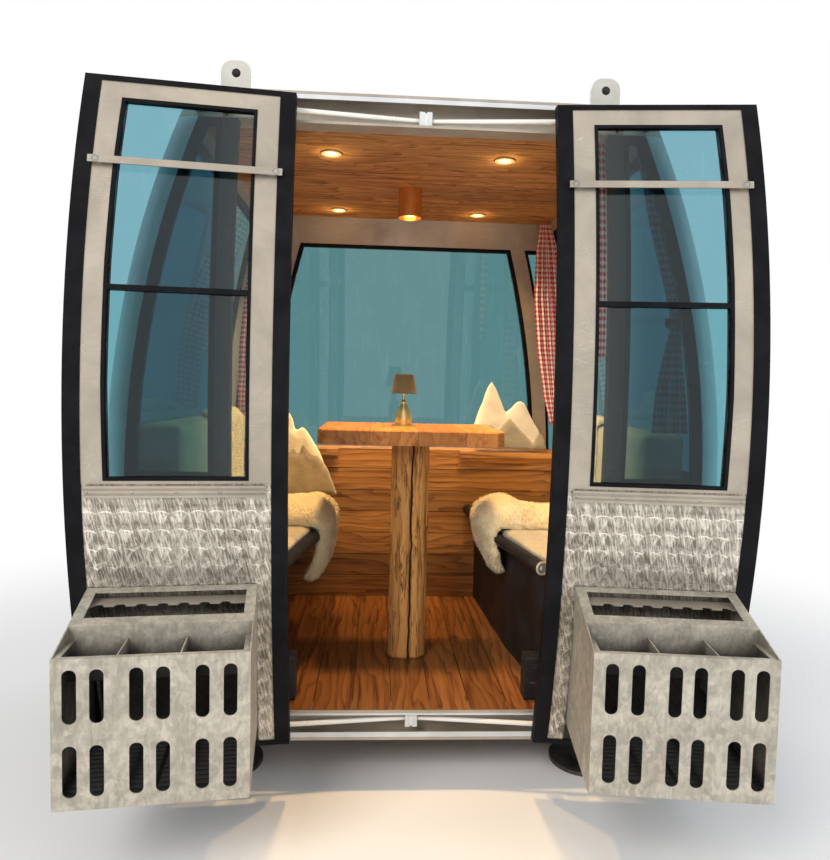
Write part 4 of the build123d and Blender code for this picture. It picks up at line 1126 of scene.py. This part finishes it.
# Bolts and rivets
def head_tree():
    """Button heads on washers, one at each point, facing along the point's own vector."""
    tree = bpy.data.node_groups.new("Button heads", "GeometryNodeTree")
    face = tree.interface
    face.new_socket("Geometry", in_out="INPUT", socket_type="NodeSocketGeometry")
    for key, value in (("Head radius", 0.006), ("Head height", 0.004), ("Washer radius", 0.009)):
        face.new_socket(key, in_out="INPUT", socket_type="NodeSocketFloat").default_value = value
    face.new_socket("Metal", in_out="INPUT", socket_type="NodeSocketMaterial")
    face.new_socket("Geometry", in_out="OUTPUT", socket_type="NodeSocketGeometry")
    new, link = tree.nodes.new, tree.links.new
    given, result = new("NodeGroupInput").outputs, new("NodeGroupOutput").inputs
    dome = new("GeometryNodeMeshUVSphere")
    dome.inputs["Segments"].default_value = 14
    dome.inputs["Rings"].default_value = 8
    dome.inputs["Radius"].default_value = 1.0
    flat = new("ShaderNodeCombineXYZ")
    link(given["Head radius"], flat.inputs[0])
    link(given["Head radius"], flat.inputs[1])
    link(given["Head height"], flat.inputs[2])
    shape = new("GeometryNodeTransform")
    link(dome.outputs["Mesh"], shape.inputs["Geometry"])
    link(flat.outputs[0], shape.inputs["Scale"])
    disc = new("GeometryNodeMeshCylinder")
    disc.inputs["Vertices"].default_value = 20
    disc.inputs["Depth"].default_value = 0.0022
    link(given["Washer radius"], disc.inputs["Radius"])
    both = new("GeometryNodeJoinGeometry")
    link(shape.outputs[0], both.inputs[0])
    link(disc.outputs["Mesh"], both.inputs[0])
    facing = new("GeometryNodeInputNamedAttribute")
    facing.data_type = "FLOAT_VECTOR"
    facing.inputs["Name"].default_value = "facing"
    turn = new("FunctionNodeAlignRotationToVector")
    turn.axis = "Z"
    link(facing.outputs["Attribute"], turn.inputs["Vector"])
    points = new("GeometryNodeMeshToPoints")
    link(given["Geometry"], points.inputs["Mesh"])
    stand = new("GeometryNodeInstanceOnPoints")
    link(points.outputs[0], stand.inputs["Points"])
    link(both.outputs[0], stand.inputs["Instance"])
    link(turn.outputs[0], stand.inputs["Rotation"])
    real = new("GeometryNodeRealizeInstances")
    link(stand.outputs[0], real.inputs[0])
    smooth = new("GeometryNodeSetShadeSmooth")
    link(real.outputs[0], smooth.inputs["Geometry"])
    paint = new("GeometryNodeSetMaterial")
    link(smooth.outputs[0], paint.inputs["Geometry"])
    link(given["Metal"], paint.inputs["Material"])
    link(paint.outputs[0], result["Geometry"])
    return tree


HEADS = head_tree()


def heads(name, body, spots, radius, height, washer, material=None):
    """Bolt or rivet heads; spots is a list of (place, facing), and the sizes are in metres."""
    piece = new_piece(name, [p for p, _ in spots], [], material or BOLT)
    facing = piece.data.attributes.new("facing", "FLOAT_VECTOR", "POINT")
    for i, (_, way) in enumerate(spots):
        facing.data[i].vector = way
    sizes = {"Head radius": radius, "Head height": height, "Washer radius": washer,
             "Metal": material or BOLT}
    grown(piece, HEADS, **sizes)
    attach(piece, body)


for side, word in ((-1, "left"), (1, "right")):
    body = "door_" + word
    bolts = [leaf_spot(side, u, STRAP_Z, 12) for u in (42, 474)]
    heads("strap_bolts_" + word, body, bolts, 0.0065, 0.0045, 0.009)
    rivets = [leaf_spot(side, u, STRIP_Z, 8) for u in (60, 165, 271, 377, 482)]
    heads("strip_rivets_" + word, body, rivets, 0.0034, 0.0022, 0.0036)
    lug_bolts = [(at(side * LUG_X, y + turn * 8, LUG_EYE_Z), Vector((0, turn, 0)))
                 for y in (130, 1056) for turn in (-1, 1)]
    heads("lug_bolts_" + word, "cabin", lug_bolts, 0.0085, 0.005, 0.0125, BLACK_PAINT)


def plates(name, boxes, body, material, edge=0.0008, spot=at):
    """Flat bars between two corners each, in millimetres, with a small bevel."""
    bm = bmesh.new()
    for low, high in boxes:
        cube = bmesh.ops.create_cube(bm, size=1.0)["verts"]
        for v in cube:
            v.co = spot(*(low[i] if v.co[i] < 0 else high[i] for i in range(3)))
    piece = built(name, bm, material)
    mod = piece.modifiers.new("Edge", "BEVEL")
    mod.width = edge
    mod.segments = 2
    baked(piece)
    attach(piece, body)


# Pale plates on the rods' middle brackets, and the returned lips of the two door channels
HEAD_Y = front_y((RING_Z + TOP_Z) / 2)
brackets = [((x0, y + 5.4, z - 21), (x0 + 15, y + 7.8, z + 21))
            for y, z in ((0, -32), (HEAD_Y, 1702)) for x0 in (-18, 3)]
plates("bracket_plates", brackets, "cabin", PALE_METAL)
LIPS = (
    # name, y of the channel, lower and upper edge
    ("header_lip", HEAD_Y, 1742, 1754.8),
    ("sill_lip_upper", 0, -15, -8.2),
    ("sill_lip_lower", 0, -81.8, -66),
)
for name, y, low, high in LIPS:
    lip = ((-LIP_X, y + 0.2, low), (LIP_X, y + 3.2, high))
    plates(name, [lip], "cabin", PALE_METAL)


def basket_grate(word, spot):
    """Flat bars on the basket's bottom, and three rails across them."""
    bars = [((84, v, 22.4), (491, v + 3, 36)) for v in range(-268, 50, 20)]
    rails = [((u, -262, 36.2), (u + 10, 48, 39)) for u in (86, 284, 478)]
    plates("basket_grate_" + word, bars + rails, "door_" + word, BLACK_PAINT, 0.0005, spot)


def basket_shelf(word, spot):
    """Pale strip over the basket's back, with a row of round notches in its front edge."""
    edge = [(492.0, -9.0), (82.0, -9.0), (82.0, -74.0)]
    for part in (0.18, 0.3, 0.42, 0.54, 0.66, 0.78, 0.9):
        u = BASKET_U + BASKET_W * part
        edge += [(u - 13 * cos(pi * k / 8), -74 + 18 * sin(pi * k / 8)) for k in range(9)]
    edge.append((492.0, -74.0))
    verts = [spot(u, v, z) for z in (402.0, 405.0) for u, v in edge]
    count = len(edge)
    faces = [tuple(range(count)), tuple(range(2 * count - 1, count - 1, -1))]
    faces += [(k, k + count, (k + 1) % count + count, (k + 1) % count) for k in range(count)]
    shelf = mend(new_piece("basket_shelf_" + word, verts, faces, ALUMINIUM, False))
    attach(shelf, "door_" + word)


for side, word in ((-1, "left"), (1, "right")):
    basket_grate(word, basket_spot(side))
    basket_shelf(word, basket_spot(side))

# Floor boards over the sill, up to its lip
SEAMS = [-553.8] + [BOARD_X + BOARD_W * i for i in range(-5, 5)] + [552.0]
boards = [((x0 + 1.8, 5, 0.1), (x1, 61.8, 1.6)) for x0, x1 in zip(SEAMS, SEAMS[1:])]
plates("sill_boards", boards, "cabin", FLOOR_WOOD, 0.0003)


def tube_end(side, word):
    """Pale turned cap on the front end of a seat's tube, with a dark middle."""
    foot = at(side * 401, 84, TUBE_Z)
    axis = (foot - at(side * 334, 500, TUBE_Z)).normalized()
    rim = [(16, -4), (21.5, -4), (22.5, -1), (22, 3), (19, 5), (15, 4.5), (14, 1), (16, -4)]
    ring = turned("tube_cap_" + word, rim, foot, LAMP_RING, 40, axis, True)
    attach(ring, "cabin")
    core = [(0.1, -3), (15.6, -3), (15.6, 1.4), (6, 1.8), (5.4, 3.2), (0.1, 3.4)]
    plug = turned("tube_plug_" + word, core, foot, BOLT, 40, axis)
    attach(plug, "cabin")


tube_end(-1, "left")
tube_end(1, "right")

# Lenses of the ceiling lamps, and the pendant's bulb
LENS = [(0.1, 6.0), (19.4, 6.0), (19.4, 3.4), (17, 2.2), (8, 1.4), (0.1, 1.2)]
for x, y in SPOTS:
    name = "spot_glow_%d_%d" % (1 if x > 0 else 0, 1 if y > 600 else 0)
    disc = turned(name, LENS, at(x, y, CEILING_Z - 3.5), SPOT_GLOW)
    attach(disc, "cabin")
BULB = [(0.1, 46), (13, 46), (13, 36), (20, 26), (24, 14), (22, 3), (12, -5), (0.1, -8)]
bulb = turned("pendant_bulb", BULB, at(*PENDANT, CEILING_Z - 96), BULB_GLOW)
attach(bulb, "cabin")


def table_lamp():
    """Polished foot, its stem, and the cloth shade with a hem at each edge and wires that carry it."""
    c = at(-20, 600, TABLE_Z)
    foot = [(0.1, 0.0), (43, 0.0), (43.6, 2.2), (41, 4.0), (33, 5.5), (30.5, 8.5), (31.8, 15), (32.2, 24),
            (31, 36), (27.5, 50), (22, 63), (16, 74), (11.5, 82), (10.5, 86), (12, 89), (11.5, 92),
            (6.5, 95), (5, 99), (4.6, 132), (9.5, 134.5), (11.5, 138), (11.8, 148), (9, 151), (0.1, 151.6)]
    stand = turned("lamp_foot", foot, c, LAMP_METAL, 64)
    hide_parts("lamp_stand")
    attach(stand, "cabin")
    wall = [(48.6, 122.2), (49.4, 122.0), (49.6, 124.0), (48.8, 125.5), (36.2, 190.0), (36.4, 191.5),
            (35.6, 193.8), (34.8, 193.6), (35.0, 190), (47.2, 125.5), (47.8, 123.5), (48.6, 122.2)]
    shade = turned("lamp_shade_cloth", wall, c, SHADE, 64, closed=True)
    layer = shade.data.uv_layers.new(name="cloth")
    for loop in shade.data.loops:
        p = shade.data.vertices[loop.vertex_index].co - c
        layer.data[loop.index].uv = (atan2(p.y, p.x) * 0.042, p.z)
    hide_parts("lamp_shade")
    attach(shade, "cabin")
    verts, faces = [], []
    for k in range(3):
        turn = 2 * pi * k / 3 + 0.4
        along = Vector((cos(turn), sin(turn), 0))
        beside = Vector((-sin(turn), cos(turn), 0))
        first = len(verts)
        for reach in (9.0, 41.2):
            for n in range(6):
                a = 2 * pi * n / 6
                lift = Vector((0, 0, 153.5 + 1.2 * sin(a)))
                verts.append(c + (along * reach + beside * 1.2 * cos(a) + lift) / 1000)
        faces += [(first + n, first + (n + 1) % 6, first + 6 + (n + 1) % 6, first + 6 + n)
                  for n in range(6)]
        faces += [tuple(first + n for n in range(5, -1, -1)), tuple(first + 6 + n for n in range(6))]
    wires = mend(new_piece("shade_wires", verts, faces, LAMP_METAL))
    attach(wires, "cabin")


table_lamp()


# Floor, light and camera
def seen_only(g):
    """1 for the rays that show a background: camera, mirror and glass rays."""
    path = g.add("ShaderNodeLightPath").outputs
    mirrored = g.math("ADD", path["Is Glossy Ray"], path["Is Transmission Ray"])
    return g.math("ADD", path["Is Camera Ray"], mirrored, clamp=True)


def floor():
    """Pale floor that keeps the shadow, and runs out into the white background."""
    material = bpy.data.materials.new("Studio floor")
    material.use_nodes = True
    g = Graph(material.node_tree)
    nodes = material.node_tree.nodes
    shader = nodes["Principled BSDF"]
    shader.inputs["Roughness"].default_value = 0.9
    where = g.add("ShaderNodeTexCoord").outputs["Object"]
    tone = g.mix(g.noise(where, 1.2, 2.0), (0.80, 0.80, 0.80, 1), (0.83, 0.83, 0.83, 1))
    g.plug(shader.inputs["Base Color"], tone)
    white = g.add("ShaderNodeEmission", {"Color": (1, 1, 1, 1), "Strength": 1.0})
    far = g.ramp(g.vmath("LENGTH", where, None, "Value"), 1.1, 3.4)
    both = g.add("ShaderNodeMixShader", {0: g.math("MULTIPLY", far, seen_only(g)), 1: shader.outputs[0],
                                         2: white.outputs[0]})
    g.plug(nodes["Material Output"].inputs["Surface"], both.outputs[0])
    corners = [(-30, -30, 0), (30, -30, 0), (30, 30, 0), (-30, 30, 0)]
    new_piece("studio_floor", corners, [(0, 1, 2, 3)], material, False)


def world():
    back = bpy.data.worlds.new("Studio")
    SCENE.world = back
    back.use_nodes = True
    g = Graph(back.node_tree)
    nodes = back.node_tree.nodes
    shade = nodes["Background"]
    shade.inputs["Color"].default_value = (0.93, 0.94, 0.96, 1)
    shade.inputs["Strength"].default_value = 0.42
    plain = g.add("ShaderNodeBackground", {"Color": (1, 1, 1, 1), "Strength": 1.0})
    both = g.add("ShaderNodeMixShader", {0: seen_only(g), 1: shade.outputs[0], 2: plain.outputs[0]})
    g.plug(nodes["World Output"].inputs["Surface"], both.outputs[0])


def new_light(name, kind, place, power, colour, shows=False):
    """A light that isn't seen itself; shows lets polished pieces mirror it."""
    data = bpy.data.lights.new(name, kind)
    data.energy = power
    data.color = colour
    light = bpy.data.objects.new(name, data)
    light.location = place
    light.visible_camera = False
    light.visible_glossy = shows
    light.visible_transmission = False
    SCENE.collection.objects.link(light)
    return light


def lamp(name, place, aim, size, power, colour, shows=False):
    """A soft studio lamp; place, aim and size are in metres."""
    light = new_light(name, "AREA", place, power, colour, shows)
    light.data.shape = "RECTANGLE"
    light.data.size, light.data.size_y = size
    light.rotation_euler = (Vector(aim) - Vector(place)).to_track_quat("-Z", "Y").to_euler()


def warm_lamps(name, x, y, z, power, halo):
    """The light of one of the cabin's own lamps: a soft disc that faces down, and a small halo above it."""
    warm = (1.0, 0.66, 0.30)
    disc = new_light(name + "_area", "AREA", at(x, y, z), power, warm)
    disc.data.shape = "DISK"
    disc.data.size = 0.10
    disc.data.spread = radians(115)
    point = new_light(name + "_point", "POINT", at(x, y, z + 34), halo, warm)
    point.data.shadow_soft_size = 0.006


PHOTO_WIDTH_PX = 830.0
FOCAL_PX = 693.3
SENSOR_MM = 36.0
EYE = (-121.0, -2000.2, 958.4)
YAW, PITCH, ROLL = radians(3.2129), radians(3.5375), radians(1.3545)


def camera():
    """The photograph's view."""
    ahead = Vector((sin(YAW) * cos(PITCH), cos(YAW) * cos(PITCH), -sin(PITCH)))
    level = Vector((cos(YAW), -sin(YAW), 0))
    below = ahead.cross(level)
    right = cos(ROLL) * level - sin(ROLL) * below
    down = sin(ROLL) * level + cos(ROLL) * below
    data = bpy.data.cameras.new("photo view")
    data.sensor_fit = "HORIZONTAL"
    data.sensor_width = SENSOR_MM
    data.lens = FOCAL_PX * SENSOR_MM / PHOTO_WIDTH_PX
    data.clip_end = 60.0
    eye = bpy.data.objects.new("photo view", data)
    turn = Matrix((right, -down, -ahead)).transposed()
    eye.matrix_world = Matrix.Translation(at(*EYE)) @ turn.to_4x4()
    SCENE.collection.objects.link(eye)
    SCENE.camera = eye


floor()
world()
lamp("key", (-2.2, -3.8, 3.4), (0, -0.2, 1.0), (2.2, 2.2), 165.0, (1.0, 0.97, 0.93))
lamp("fill", (3.0, -2.6, 2.0), (0, -0.2, 1.0), (2.4, 2.4), 60.0, (0.92, 0.96, 1.0))
lamp("rim", (0.5, 3.4, 3.0), (0, 0, 1.2), (3.0, 2.0), 80.0, (0.95, 0.97, 1.0), True)
for index, (x, y) in enumerate(SPOTS):
    warm_lamps("warm_%d" % index, x, y, 1650, 4.8, 0.3)
warm_lamps("warm_pendant", *PENDANT, 1560, 2.2, 0.12)
camera()
SCENE.view_settings.view_transform = "Standard"
